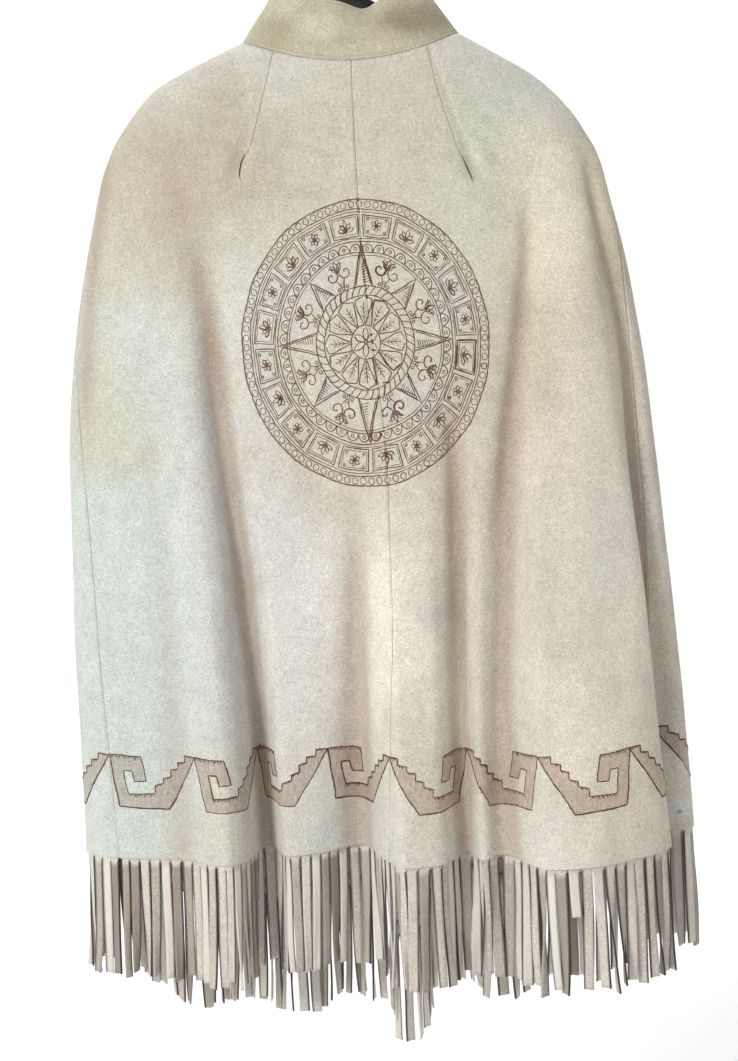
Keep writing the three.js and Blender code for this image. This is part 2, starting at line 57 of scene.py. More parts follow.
def add_mesh(name, work, *materials):
    """An object whose mesh is a finished bmesh."""
    mesh = bpy.data.meshes.new(name)
    work.to_mesh(mesh)
    work.free()
    for material in materials:
        mesh.materials.append(material)
    return add_object(name, mesh)


def settle(made, node=None):
    """Hangs a piece on the one body and lets it stand for a CAD node."""
    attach(made, "root")
    if node:
        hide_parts(node)
    return made


# %% [markdown]
# ## The camera
# The lens is level with the medallion on the back, and the picture is framed lower than the lens points. A tilt
# would make the sides lean together, so the frame is shifted instead. The camera is turned a little about its
# own line of sight, because the cape hangs slightly off the upright.

# %% Camera
CAMERA_AT = (0, -1.65, -0.42)
CAMERA_ROLL = math.radians(2.5)
LENS_MM = 55.98
SENSOR_MM = 36
PICTURE = (738, 1061)
POINTS_AT = (363.7, 347.7)  # the pixel that the lens points at

camera_data = bpy.data.cameras.new("camera")
camera_data.lens, camera_data.sensor_width = LENS_MM, SENSOR_MM
camera_data.shift_x = (PICTURE[0] / 2 - POINTS_AT[0]) / PICTURE[1]
camera_data.shift_y = -(PICTURE[1] / 2 - POINTS_AT[1]) / PICTURE[1]
camera = add_object("camera", camera_data)
camera.location = CAMERA_AT
camera.rotation_euler = (math.pi / 2, CAMERA_ROLL, 0)
bpy.context.scene.camera = camera
print("camera shift", round(camera_data.shift_x, 4), round(camera_data.shift_y, 4))

# %% [markdown]
# ## The hang of the cape as a set of curves
# Cloth this heavy hangs in a few deep folds, so its shape can be told by horizontal sections: a rounded outline
# at each level, and folds that stand out or in and deepen towards the hem. The tables are in millimetres, and
# "down" starts a little above the neck seam at the centre back. A curve that never overshoots its knots joins
# the values of a table.

# %% Sizes and tables, in millimetres
MM = 0.001
HIDE = 1.6
NECK_BELOW_RAIL, BACK_LENGTH = 130, 780
FRONT_DROP = {"left": 77, "right": 67}
CORNER_DROP, CORNER_ACROSS, CORNER_FADE = 57, 26, 26
DROP_BEGINS, DROP_OVER = 105, 50
NECK_HALF_WIDTH, NECK_SIDE, NECK_BACK, NECK_FRONT = 107, -19, 8, 55
ROUNDNESS = 0.9
FRONT_GAP_NECK, FRONT_GAP_HEM = 1.2, 7.5
SECTIONS = np.array([  # down, left half width, right half width, back half depth, front half depth
    (-20, 106, 108, 26, 26), (0, 151, 141, 33, 33), (25, 198, 180, 40, 38), (50, 221, 206, 46, 44),
    (80, 241, 229, 52, 49), (110, 254, 243, 56, 54), (150, 264, 252, 60, 58), (200, 275, 263, 63, 63),
    (260, 286, 273, 65, 67), (320, 293, 280, 67, 70), (400, 299, 286, 69, 73), (500, 300, 294, 71, 76),
    (600, 301, 300, 73, 79), (700, 300, 306, 74, 82), (800, 299, 311, 75, 85), (900, 299, 315, 76, 88),
], float)
SEAMS = np.array([  # down, then the angle around of the left, centre back and right seams
    (-20, -100, 0, 100), (100, -97, 0, 95), (200, -89, 0.3, 82), (267, -82, 1, 74), (330, -76, 1.8, 71.5),
    (400, -70, 2.5, 70.5), (530, -66, 2.3, 69), (640, -63.5, 1.2, 66), (790, -61, 0, 64),
], float)
FOLD_TOP = 200
BACK_FOLDS = [  # across at FOLD_TOP, across at the hem, share of the drop where it begins, how far out
    (-1, -1, 0.3, 0), (-262, -268, 0.35, -8), (-215, -205, 0.25, -13), (-182, -150, 0.18, 7),
    (-171, -138, 0.2, -4), (-155, -121, 0.18, -60), (-112, -95, 0.25, -22), (-62, -70, 0.3, -28),
    (-15, -23, 0.5, -54), (22, 17, 0.35, 30), (56, 49, 0.35, 25), (92, 80, 0.38, -12), (138, 92, 0.15, 14),
    (160, 110, 0.12, 3), (186, 147, 0.15, 58), (206, 182, 0.12, 62), (220, 222, 0.1, 50),
    (231, 262, 0.08, 30), (244, 284, 0.1, -24), (256, 302, 0.14, -4), (1, 1, 0.3, 0),
]
FRONT_FOLDS = [
    (226, 262, 0.15, 12), (190, 222, 0.15, -30), (150, 172, 0.18, 26), (104, 118, 0.22, -34),
    (60, 66, 0.25, 20), (1, 4, 0.3, -6), (-1, -4, 0.3, -10), (-42, -44, 0.25, 22), (-86, -90, 0.2, -30),
    (-134, -146, 0.16, 32), (-184, -206, 0.14, -28), (-226, -256, 0.14, 14),
]
FOLD_POWER, FOLD_EARLY = 1.25, 0.15


# %% Curves through the tables
def through(at, value, query):
    """A smooth curve through knots that never overshoots them."""
    at, value = np.asarray(at, float), np.asarray(value, float)
    step = np.diff(at)
    slope = np.diff(value) / step
    tangent = np.zeros_like(value)
    tangent[0], tangent[-1] = slope[0], slope[-1]
    same_way = slope[:-1] * slope[1:] > 0
    before, after = 2 * step[1:] + step[:-1], step[1:] + 2 * step[:-1]
    first, second = np.where(same_way, slope[:-1], 1), np.where(same_way, slope[1:], 1)
    tangent[1:-1] = np.where(same_way, (before + after) / (before / first + after / second), 0)
    x = np.clip(query, at[0], at[-1])
    i = np.clip(np.searchsorted(at, x) - 1, 0, len(step) - 1)
    s = (x - at[i]) / step[i]
    keep = 1 - s
    ends = value[i] * keep**2 * (1 + 2 * s) + value[i + 1] * s**2 * (3 - 2 * s)
    return ends + step[i] * s * keep * (tangent[i] * keep - tangent[i + 1] * s)


def column(table, k, down):
    return through(table[:, 0], table[:, k], down)


def smooth(past, width):
    t = np.clip(past / width, 0, 1)
    return t * t * (3 - 2 * t)


def bell(away):
    return np.exp(-(away**2))


def unit(vectors):
    return vectors / np.linalg.norm(vectors, axis=-1, keepdims=True)


def run_along(points):
    """How far along a path each of its points lies."""
    return np.concatenate([[0], np.cumsum(np.linalg.norm(np.diff(points, axis=0), axis=1))])


def plain_points(around, down):
    """The smooth section without folds, as rows of x, y, z."""
    sine, cosine = np.sin(np.radians(around)), np.cos(np.radians(around))
    wide = np.where(sine < 0, column(SECTIONS, 1, down), column(SECTIONS, 2, down))
    deep = np.where(cosine > 0, column(SECTIONS, 3, down), column(SECTIONS, 4, down))
    x = wide * np.sign(sine) * np.abs(sine) ** ROUNDNESS
    y = -deep * np.sign(cosine) * np.abs(cosine) ** ROUNDNESS
    return np.stack([x, y, -NECK_BELOW_RAIL - down + 0 * x], -1)


def neck_level(around):
    lowest = np.where(np.cos(np.radians(around)) > 0, NECK_BACK, NECK_FRONT)
    low, high = np.full(around.shape, NECK_SIDE - 1.0), lowest.astype(float)
    for _ in range(32):
        middle = (low + high) / 2
        across = np.abs(plain_points(around, middle)[:, 0]) / NECK_HALF_WIDTH
        above = middle - lowest + (lowest - NECK_SIDE) * across**2 > 0
        low, high = np.where(above, low, middle), np.where(above, middle, high)
    return (low + high) / 2


def hem_level(around):
    turn = (around + 360) % 360
    on_right = turn < 180
    forward = smooth(np.where(on_right, turn, 360 - turn) - DROP_BEGINS, DROP_OVER)
    front = np.where(on_right, FRONT_DROP["right"], FRONT_DROP["left"]) * forward
    sine = np.clip(np.sin(np.radians(turn)), 0, 1)
    across = column(SECTIONS, 2, BACK_LENGTH) * sine**ROUNDNESS
    corner = CORNER_DROP * (1 - smooth(across - CORNER_ACROSS, CORNER_FADE))
    return BACK_LENGTH + front + np.where(on_right & (turn >= 90), corner, 0)


def level_at(share):
    return NECK_BACK + (BACK_LENGTH - NECK_BACK) * share


def fold_depth(share, around):
    """How far the folds move one row of the cape outwards."""
    fallen = np.clip((level_at(share) - FOLD_TOP) / (BACK_LENGTH - FOLD_TOP), 0, 1)
    travelled = fallen * (2 - fallen)  # a fold slants most near its top
    knots = []
    for front, folds in ((False, BACK_FOLDS), (True, FRONT_FOLDS)):
        for top, hem, begins, out in folds:
            grown = np.clip((share - begins) / (1 - begins), 0, 1)
            side = 1 if hem < 0 else 2
            start, end = top / column(SECTIONS, side, FOLD_TOP), hem / column(SECTIONS, side, BACK_LENGTH)
            aside = hem if abs(hem) == 1 else start + (end - start) * travelled
            angle = math.degrees(math.asin(math.copysign(abs(aside) ** (1 / ROUNDNESS), aside)))
            depth = grown**FOLD_POWER * (1 + FOLD_EARLY * (1 - grown))
            knots.append((180 - angle if front else angle, out * depth))
    knots = np.array(knots)
    turn = np.array([360, 0])
    knots = np.concatenate([knots[-2:] - turn, knots, knots[:2] + turn])
    return through(knots[:, 0], knots[:, 1], around)


def cape_row(share, around):
    """Points of one row of the cape, at the given angles around."""
    down = neck_level(around) * (1 - share) + hem_level(around) * share
    flat, ahead = plain_points(around, down), plain_points(around + 0.5, down)
    normal = unit(np.stack([ahead[:, 1] - flat[:, 1], flat[:, 0] - ahead[:, 0], 0 * down], -1))
    return flat + normal * fold_depth(share, around)[:, None]


def even_row(share, places, start, end, gap_start, gap_end):
    """Points of a row at the given shares of the way along it, measured on the cloth."""
    points = cape_row(share, np.linspace(start, end, int(4 * (end - start)) + 1))
    run = run_along(points)
    target = gap_start + (run[-1] - gap_start - gap_end) * places
    return np.stack([np.interp(target, run, points[:, k]) for k in range(3)], -1)


# %% [markdown]
# ## The four panels
# A panel could be draped by simulation, but a garment that already hangs has known folds, so each panel is a
# grid whose points are placed on the curves above. The points lie evenly along the cloth and not along the
# view, so that the ornament can be laid out on the flat cut and follows every fold. Points crowd at the seams,
# where the edge rolls in, and towards the neck, and one more row lies just above the hem.

# %% Panels as grids of points
PANELS = {  # the seams each panel runs between, CAD columns, and the end that lies at the front opening
    "back_left": (0, 1, 18, None),
    "back_right": (1, 2, 18, None),
    "front_right": (2, 3, 23, "end"),
    "front_left": (3, 4, 23, "start"),
}
EDGE_STEPS_MM = [0, 0.5, 1.2, 2.2, 3.6]  # columns beside a seam
ROWS = 190
SEAM_GAP = 0.05
SEAM_ROLL_MM = 1.1  # how far an edge turns in at a seam
SEAM_ROLL_WIDTH_MM = 1.3

t = np.linspace(0, 1, ROWS)
row_shares = np.sort([*(t * (0.55 + 0.45 * t)), 1 - 1.2 / BACK_LENGTH])


def ends_of(name, share):
    """The angles where a panel starts and ends at a row, and its gaps there."""
    first, last, _, opens = PANELS[name]
    left, back, right = (float(column(SEAMS, k, level_at(share))) for k in (1, 2, 3))
    angles = [left, back, right, 180, left + 360]
    opening = (FRONT_GAP_NECK + (FRONT_GAP_HEM - FRONT_GAP_NECK) * share) / 2
    gaps = [opening if opens == end else SEAM_GAP for end in ("start", "end")]
    return angles[first], angles[last], *gaps


def outward(points):
    """Unit normals of a grid of points, which runs around the cape and then down."""
    along, down = np.gradient(points, axis=1), np.gradient(points, axis=0)
    return unit(np.cross(along, -down))


def across_and_down(points):
    return points[..., 0], -NECK_BELOW_RAIL - points[..., 2]


BROAD_WAVE, NARROW_WAVE = 0.9, 0.28


def hand_relief(points):
    """The shallow unevenness of a hide that has hung for years, in millimetres."""
    x, level = across_and_down(points)
    way = x + 1.7 * points[..., 1]
    broad = np.sin(way / 31 + 1.4 * np.sin(level / 83) + 0.6) * np.sin(level / 74 + way / 130 + 0.4)
    narrow = np.sin(way / 12.7 + level / 61 + 2.0) * np.sin(level / 27 - way / 47)
    return (BROAD_WAVE * broad + NARROW_WAVE * narrow) * smooth(level + 5, 90)


HOLLOW_REACH, HOLLOW_FULL_MM = 6, 7  # columns to either side, and the depth that counts as 1


def hollowness(points, normals):
    """From 0 to 1, how deep each point lies between the neighbours to either side: its share of painted shade.
    """
    padded = np.pad(points, ((0, 0), (HOLLOW_REACH, HOLLOW_REACH), (0, 0)), "reflect", reflect_type="odd")
    beside = (padded[:, : -2 * HOLLOW_REACH] + padded[:, 2 * HOLLOW_REACH :]) / 2
    deep = ((beside - points) * normals).sum(2)
    return np.clip(deep / HOLLOW_FULL_MM, 0, 1)


# %% Dart tips
DARTS = [((-76, -5), (-112, 97)), ((76, -5), (110, 112))]  # across and down of its two ends
DART_FOLD = {"deep": 0.9, "wide": 2.6}
DART_PUCKER = {"deep": 3.2, "wide": 8, "long": 22}
DART_BULGE = {"high": 1.3, "aside": 13, "wide": 8}


def dart_relief(points):
    """The two shoulder darts pull the back in along a line and leave a dimple below their tips."""
    x, level = across_and_down(points)
    relief = np.zeros_like(x)
    for (x0, d0), (x1, d1) in DARTS:
        length = math.hypot(x1 - x0, d1 - d0)
        along = ((x - x0) * (x1 - x0) + (level - d0) * (d1 - d0)) / length
        aside = ((x - x0) * (d1 - d0) - (level - d0) * (x1 - x0)) / length
        on_dart = smooth(along + 6, 12) * (1 - smooth(along - length + 2, 10))
        relief -= DART_FOLD["deep"] * on_dart * bell(aside / DART_FOLD["wide"])
        at_tip = bell((along - length - 4) / DART_PUCKER["long"])
        relief -= DART_PUCKER["deep"] * at_tip * bell(aside / DART_PUCKER["wide"])
        relief += DART_BULGE["high"] * at_tip * bell((aside - DART_BULGE["aside"]) / DART_BULGE["wide"])
    return np.where(points[..., 1] < 0, relief, 0)


# %% Creases
# Each crease is pressed into the relief, and painted shade darkens the suede along it by its last column.
CREASES = [  # down and across at each bend, how deep and how wide in millimetres, how dark
    ([(50, -190), (146, -172), (200, -165), (258, -150), (330, -145)], 1.2, 15, 0.55),
    ([(440, -22), (596, -24), (742, -30)], 1.0, 6, 0.1),
    ([(320, 74), (388, 79), (438, 80), (600, 80)], 2.6, 6, 0.5),
    ([(120, 165), (200, 159), (291, 147), (370, 132), (480, 117)], 1.6, 6, 0.6),
    ([(50, 227), (142, 232), (245, 237), (345, 246), (439, 260), (572, 276), (700, 286)], 2.2, 8, 0.4),
    ([(40, -243), (107, -250), (172, -260), (272, -272), (360, -276)], 0.8, 9, 0.9),
]


def creases(points):
    """The relief of the narrow creases where the back folds have set, and the painted shade along them."""
    x, level = across_and_down(points)
    relief, shade = 0 * x, 0 * x
    for bends, deep, wide, dark in CREASES:
        down, across = np.array(bends, float).T
        core = bell((x - np.interp(level, down, across)) / wide) * (points[..., 1] < 0)
        core *= smooth(level - down[0], 90) * (1 - smooth(level - down[-1] + 60, 110))
        relief, shade = relief - deep * core, shade + dark * core
    return relief, shade


# %% Lay out the panels
def panel_layout(name):
    """Points, normals, shares across and heights above the hem of a panel's outer face."""
    hem = even_row(1, np.linspace(0, 1, 400), *ends_of(name, 1))
    width = np.linalg.norm(np.diff(hem, axis=0), axis=1).sum()
    inside = np.linspace(0, 1, PANELS[name][2] * 5 + 1)[1:-1]
    edge = np.array(EDGE_STEPS_MM) / width
    across = np.concatenate([edge, inside[(inside > edge[-1]) & (inside < 1 - edge[-1])], 1 - edge[::-1]])
    points = np.array([even_row(share, across, *ends_of(name, share)) for share in row_shares])
    normals = outward(points)
    to_edge = np.minimum(across, 1 - across) * width
    roll = -SEAM_ROLL_MM * bell(to_edge / SEAM_ROLL_WIDTH_MM)
    creased, shade = creases(points)
    relief = hand_relief(points) + dart_relief(points) + creased
    relief[:, 0] = relief[:, -1] = 0
    points = points + normals * (relief + roll)[..., None]
    steps = np.linalg.norm(np.diff(points, axis=0), axis=2)
    height = np.concatenate([np.cumsum(steps[::-1], axis=0)[::-1], np.zeros((1, len(across)))])
    normals = outward(points)
    return {
        "points": points, "normals": normals, "across": across, "height": height, "width": width,
        # The share of painted shade: the hollows between neighbours and the creases.
        "hollow": np.clip(hollowness(points, normals) + shade, 0, 1.6),
    }


layouts = {name: panel_layout(name) for name in PANELS}
for name, layout in layouts.items():
    print(name, "hem", round(layout["width"], 1), "mm, drop", round(layout["height"][0].max(), 1), "mm")


# %% [markdown]
# ## Grids into meshes
# One operator makes a flat grid, and its vertices are then moved onto the layout. The thickness of the hide
# comes from a Solidify modifier that grows inwards, so the outer face stays where the layout puts it.

# %% A mesh from a layout
def grid_object(name, points_mm, materials, uv=None, material_at=None, shade=None):
    """points_mm is rows by columns, rows from top to bottom and columns around the cape."""
    rows, columns = points_mm.shape[:2]
    work = bmesh.new()
    # The vertex attribute carries the share of painted shade at each point.
    hollow = work.verts.layers.float.new("hollow")
    bmesh.ops.create_grid(work, x_segments=columns - 1, y_segments=rows - 1, size=1)
    place = {}
    for vertex in work.verts:
        c = round((vertex.co.x + 1) / 2 * (columns - 1))
        r = rows - 1 - round((vertex.co.y + 1) / 2 * (rows - 1))
        place[vertex.index] = (r, c)
        vertex.co = points_mm[r, c] * MM
        if shade is not None:
            vertex[hollow] = shade[r, c]
    if uv is not None:
        layer = work.loops.layers.uv.new("cut")
        for face in work.faces:
            for loop in face.loops:
                loop[layer].uv = uv[place[loop.vert.index]]
    for face in work.faces:
        face.smooth = True
        if material_at is not None:
            face.material_index = int(material_at[place[face.verts[0].index]])
    return add_mesh(name, work, *materials)


def thicken(made, thickness):
    solid = made.modifiers.new("thickness", "SOLIDIFY")
    solid.thickness, solid.offset = thickness * MM, -1


# %% [markdown]
# ## Suede
# Suede is the flesh side of a hide, split and brushed. Its nap scatters light in all directions, so it has no
# gloss, a soft sheen at the edges, and broad clouds of warm and cool colour where the nap lies differently or
# hands have touched it. The clouds, the mottling of a centimetre or two, the pebbling of a few millimetres and
# the grain of the nap are four sizes of noise. Shade in the hollows of the folds and creases is painted
# into the colour, and a few soft patches paint shade and light onto the folds. Colours are sRGB hex values
# that one function turns to linear light.

# %% Colour and node helpers
def linear(hex_text):
    parts = [int(hex_text[i : i + 2], 16) / 255 for i in (1, 3, 5)]
    return (*(c / 12.92 if c <= 0.04045 else ((c + 0.055) / 1.055) ** 2.4 for c in parts), 1)


def add(tree, kind, sockets=None, **settings):
    """Adds a node with its settings. A socket is given a value, or another node's output to link."""
    node = tree.nodes.new(kind)
    for name, value in settings.items():
        setattr(node, name, value)
    for name, value in (sockets or {}).items():
        if isinstance(value, bpy.types.NodeSocket):
            tree.links.new(value, node.inputs[name])
        else:
            node.inputs[name].default_value = value
    return node


def new_material(name, shader):
    """An empty material with a Principled shader whose sockets are set from a table."""
    material = bpy.data.materials.new(name)
    material.use_nodes = True
    tree = material.node_tree
    tree.nodes.clear()
    principled = add(tree, "ShaderNodeBsdfPrincipled", shader)
    add(tree, "ShaderNodeOutputMaterial", {"Surface": principled.outputs[0]})
    return material, tree, principled


def feed(tree, shader, outputs):
    for name, output in outputs.items():
        tree.links.new(output, shader.inputs[name])


def compute(tree, operation, *values):
    return add(tree, "ShaderNodeMath", dict(enumerate(values)), operation=operation).outputs[0]


def compute_vector(tree, operation, vector, other=None):
    sockets = {0: vector} if other is None else {0: vector, "Scale" if operation == "SCALE" else 1: other}
    made = add(tree, "ShaderNodeVectorMath", sockets, operation=operation)
    return made.outputs["Value" if operation == "LENGTH" else "Vector"]


def object_place(tree):
    return add(tree, "ShaderNodeTexCoord").outputs["Object"]


def noise(tree, place, scale, detail=2.0, **more):
    sockets = {"Vector": place, "Scale": scale, "Detail": detail, **more}
    return add(tree, "ShaderNodeTexNoise", sockets).outputs


def ranged(tree, value, low, high, to_low=0.0, to_high=1.0, curve="LINEAR"):
    """Maps low to to_low and high to to_high, and stays between these."""
    sockets = {0: value, 1: low, 2: high, 3: to_low, 4: to_high}
    return add(tree, "ShaderNodeMapRange", sockets, interpolation_type=curve).outputs[0]


def mixed(tree, share, first, second):
    """The share of the second colour in the first. Each is a hex value or another node's output."""
    first, second = (linear(colour) if isinstance(colour, str) else colour for colour in (first, second))
    return add(tree, "ShaderNodeMix", {0: share, 6: first, 7: second}, data_type="RGBA").outputs[2]


def attribute(tree, name):
    return add(tree, "ShaderNodeAttribute", attribute_name=name).outputs["Fac"]


def two_tone(name, shader, tones, scale, detail=2.0, limits=None):
    """A material whose colour wanders between two tones with a noise."""
    material, tree, principled = new_material(name, shader)
    share = noise(tree, object_place(tree), scale, detail)[0]
    if limits:
        share = ranged(tree, share, *limits)
    feed(tree, principled, {"Base Color": mixed(tree, share, *tones)})
    return material


# %% The clouds of colour in the hide
SUEDE = "#dad6cc"
CLOUDS = [(0.50, 0.70, "#dde2dc", 0.5), (0.50, 0.32, "#d0c4ad", 0.45)]  # range of noise, tint, strength
# Painted shade in the hollows, creases and fringe edges: its tint and its strength.
PAINTED_SHADE_TINT, PAINTED_SHADE_STRENGTH = "#a8927f", 0.55
# Soft patches of tone on the hide. The rows marked below paint shade or light onto the folds; the others shift
# its tone in broad soft areas, and the two smallest make a stain.
PATCHES = [  # centre x, y, z and half sizes in metres, colour, strength
    ((-0.26, -0.04, -0.66), (0.15, 0.2, 0.46), "#ced9d4", 0.80),
    ((-0.17, -0.05, -0.24), (0.16, 0.2, 0.13), "#c2b7a2", 0.80),
    ((-0.10, -0.08, -0.66), (0.12, 0.2, 0.24), "#dcdbd9", 0.50),
    ((0.02, -0.05, -0.20), (0.09, 0.2, 0.11), "#d3ccba", 0.55),
    ((0.13, -0.06, -0.24), (0.07, 0.2, 0.11), "#d2d6c4", 0.60),
    ((0.23, -0.05, -0.30), (0.10, 0.2, 0.12), "#cdc09c", 0.70),
    ((0.20, -0.06, -0.45), (0.09, 0.2, 0.13), "#d5c4a4", 0.55),
    # painted shade where the right side turns away from the key lamp
    ((0.325, -0.02, -0.55), (0.055, 0.2, 0.30), "#bba68c", 0.80),
    # painted light, in this row and the next, where the surface right of the centre turns away from the key lamp
    ((0.215, -0.08, -0.66), (0.065, 0.2, 0.36), "#f5ecde", 0.80),
    ((0.205, -0.05, -0.29), (0.060, 0.2, 0.11), "#f8f0dc", 0.80),
    ((0.150, -0.08, -0.885), (0.220, 0.2, 0.06), "#f8eee4", 0.40),
    ((0.040, -0.08, -0.70), (0.045, 0.2, 0.20), "#faf3e8", 0.80),
    ((0.015, -0.08, -0.66), (0.020, 0.2, 0.12), "#f6f0e6", 0.60),
    ((-0.050, -0.08, -0.72), (0.060, 0.2, 0.16), "#f2ece4", 0.50),
    ((0.002, -0.06, -0.415), (0.105, 0.2, 0.122), "#c9b7a9", 0.12),
    ((0.13, -0.08, -0.62), (0.09, 0.2, 0.20), "#d6c9be", 0.50),
    ((0.03, -0.08, -0.88), (0.14, 0.2, 0.10), "#d6d6cf", 0.45),
    # painted shade in the valley of the deep fold left of the centre back
    ((-0.135, -0.08, -0.62), (0.030, 0.2, 0.26), "#b7a193", 0.20),
    ((0.290, -0.02, -0.889), (0.015, 0.05, 0.012), "#e6eef2", 0.80),
    ((0.292, -0.02, -0.892), (0.0035, 0.05, 0.0026), "#7f93a4", 0.90),
]
PATCH_WANDER = 0.11  # metres that the outline of a patch strays
PATCH_EDGE = (1.25, 0.30)  # where a patch begins and where it is full, as shares of its half size
CLOUD_SIZE, MOTTLE_SIZE, PEBBLE_SIZE, NAP_SIZE = 0.22, 0.016, 0.0036, 0.0015  # metres; real nap is finer
GRAIN_AMOUNTS = (0.06, 0.08, 0.26)  # how much the mottling, the pebbles and the nap change the shade
PEBBLE_IN_BUMP, BUMP_STRENGTH, BUMP_DEPTH = 0.9, 0.65, 0.0009


def suede_nodes(tree, base, patches, spread=1.0):
    """Adds suede's finish and painted shade to a tree, and gives its colour and its height for the bump."""
    place = object_place(tree)
    wander = compute_vector(tree, "SUBTRACT", noise(tree, place, 9.0)["Color"], (0.5, 0.5, 0.5))
    moved = compute_vector(tree, "ADD", place, compute_vector(tree, "SCALE", wander, PATCH_WANDER))
    colour = base
    for centre, size, tint, strength in patches:
        start = moved if size[2] > 0.02 else place  # a small stain stays where it is
        away = compute_vector(tree, "DIVIDE", compute_vector(tree, "SUBTRACT", start, centre), size)
        away = compute_vector(tree, "LENGTH", away)
        colour = mixed(tree, ranged(tree, away, *PATCH_EDGE, 0.0, strength, "SMOOTHSTEP"), colour, tint)
    cloud = noise(tree, place, 1 / CLOUD_SIZE, 3.0)[0]
    for low, high, tint, strength in CLOUDS:
        share = ranged(tree, cloud, low, high, 0.0, strength * spread, "SMOOTHSTEP")
        colour = mixed(tree, share, colour, tint)
    # Painted shade: the vertex shade attribute mixes the colour towards a brown shade tint.
    hollow = compute(tree, "MULTIPLY", attribute(tree, "hollow"), PAINTED_SHADE_STRENGTH)
    colour = mixed(tree, hollow, colour, PAINTED_SHADE_TINT)
    mottle, pebble = noise(tree, place, 1 / MOTTLE_SIZE)[0], noise(tree, place, 1 / PEBBLE_SIZE)[0]
    nap = noise(tree, place, 1 / NAP_SIZE, Roughness=0.7)[0]
    for grain, amount in zip((mottle, pebble, nap), GRAIN_AMOUNTS):
        shade = ranged(tree, grain, 0.3, 0.7, 1 - amount, 1 + amount * 0.8)
        colour = compute_vector(tree, "SCALE", colour, shade)
    return colour, compute(tree, "MULTIPLY_ADD", pebble, PEBBLE_IN_BUMP, nap)


def finish_suede(tree, principled, colour, height):
    relief = {"Strength": BUMP_STRENGTH, "Distance": BUMP_DEPTH, "Height": height}
    bump = add(tree, "ShaderNodeBump", relief)
    feed(tree, principled, {"Normal": bump.outputs[0], "Base Color": colour})


SUEDE_SHADER = {"Roughness": 0.95, "Specular IOR Level": 0.15, "Sheen Weight": 0.2, "Sheen Roughness": 0.6}

# %% Brushed suede for the panels
# Cream split cowhide, brushed on the flesh side: matt, clouded, with a grain that breaks up every highlight.
hide, tree, principled = new_material("brushed_suede_cream", SUEDE_SHADER)
finish_suede(tree, principled, *suede_nodes(tree, SUEDE, PATCHES))

# %% [markdown]
# ## The band of stepped hooks
# The band is burnt into the hide with a hot pen and then tinted. It is a common step and hook border. One unit
# is a closed outline on the flat cut, repeated along the hem and mirrored at the centre back. The tint is a
# material that tests whether a point of the cut lies inside that outline: it counts how many edges lie to one
# side of the point, and an odd count is inside. The pen lines come later, as lines of their own.

# %% One unit of the band, in millimetres on the flat cut
HOOK_UNIT = [
    (0, 52), (29, 50.5), (32, 26.5), (21.5, 26), (19.5, 36.3), (12, 36.3), (14.6, 13.5), (38.4, 14),
    (39.2, 21.5), (47, 24.3), (47.2, 29), (54, 31), (54.4, 37.8), (61, 39.4), (61.4, 45), (69, 46),
    (69.4, 52.3), (80, 51.5), (49, -1.2), (5.5, 0.8),
]
UNIT_WIDTH = 80
UNITS_IN_BACK_HALF, UNITS_IN_FRONT_HALF = 4, 5
BAND_ABOVE_HEM = 50.5
BAND_TINT = (0.62, 0.48, 0.42)  # what the tint lets through of red, green and blue
PEN_STROKES = (1.1, 0.09, 1)  # noise waves in a millimetre: the strokes of the tint run upright


def band_uv(name):
    """Each vertex's place on the flat cut: hook units from the centre back, and metres above the hem."""
    layout = layouts[name]
    across = layout["across"]
    units = {
        "back_left": UNITS_IN_BACK_HALF * (across - 1),
        "back_right": UNITS_IN_BACK_HALF * across,
        "front_right": UNITS_IN_BACK_HALF + UNITS_IN_FRONT_HALF * across,
        "front_left": UNITS_IN_FRONT_HALF * (across - 1) - UNITS_IN_BACK_HALF,
    }[name]
    return np.stack([np.broadcast_to(units, layout["height"].shape), layout["height"] * MM], -1)


# %% Suede with the tinted band
banded, tree, principled = new_material("brushed_suede_with_tinted_band", SUEDE_SHADER)
colour, height = suede_nodes(tree, SUEDE, PATCHES)
cut = add(tree, "ShaderNodeSeparateXYZ", {0: add(tree, "ShaderNodeUVMap", uv_map="cut").outputs[0]})
units = compute(tree, "FRACT", compute(tree, "ABSOLUTE", cut.outputs[0]))
across = compute(tree, "MULTIPLY_ADD", units, -UNIT_WIDTH, UNIT_WIDTH)
above = compute(tree, "MULTIPLY_ADD", cut.outputs[1], 1 / MM, -BAND_ABOVE_HEM)
crossings = 0.0
for (u0, v0), (u1, v1) in zip(HOOK_UNIT, HOOK_UNIT[1:] + HOOK_UNIT[:1]):
    if abs(v1 - v0) < 0.05:  # a level edge is never crossed
        continue
    slope = (u1 - u0) / (v1 - v0)
    over = [compute(tree, "GREATER_THAN", above, level) for level in (v0, v1)]
    between = compute(tree, "ABSOLUTE", compute(tree, "SUBTRACT", *over))
    edge = compute(tree, "MULTIPLY_ADD", above, slope, u0 - v0 * slope)
    crossings = compute(tree, "MULTIPLY_ADD", between, compute(tree, "LESS_THAN", across, edge), crossings)
inside = compute(tree, "MODULO", crossings, 2.0)
pen_place = add(tree, "ShaderNodeCombineXYZ", {0: across, 1: above}).outputs[0]
pen_place = add(tree, "ShaderNodeMapping", {0: pen_place, 3: PEN_STROKES}).outputs[0]
strength = ranged(tree, noise(tree, pen_place, 1.0, 3.0)[0], 0.3, 0.7, 0.35, 0.85)
tint = compute_vector(tree, "MULTIPLY", colour, BAND_TINT)
colour = mixed(tree, compute(tree, "MULTIPLY", strength, inside), colour, tint)
finish_suede(tree, principled, colour, height)
print("band material has", len(tree.nodes), "nodes")

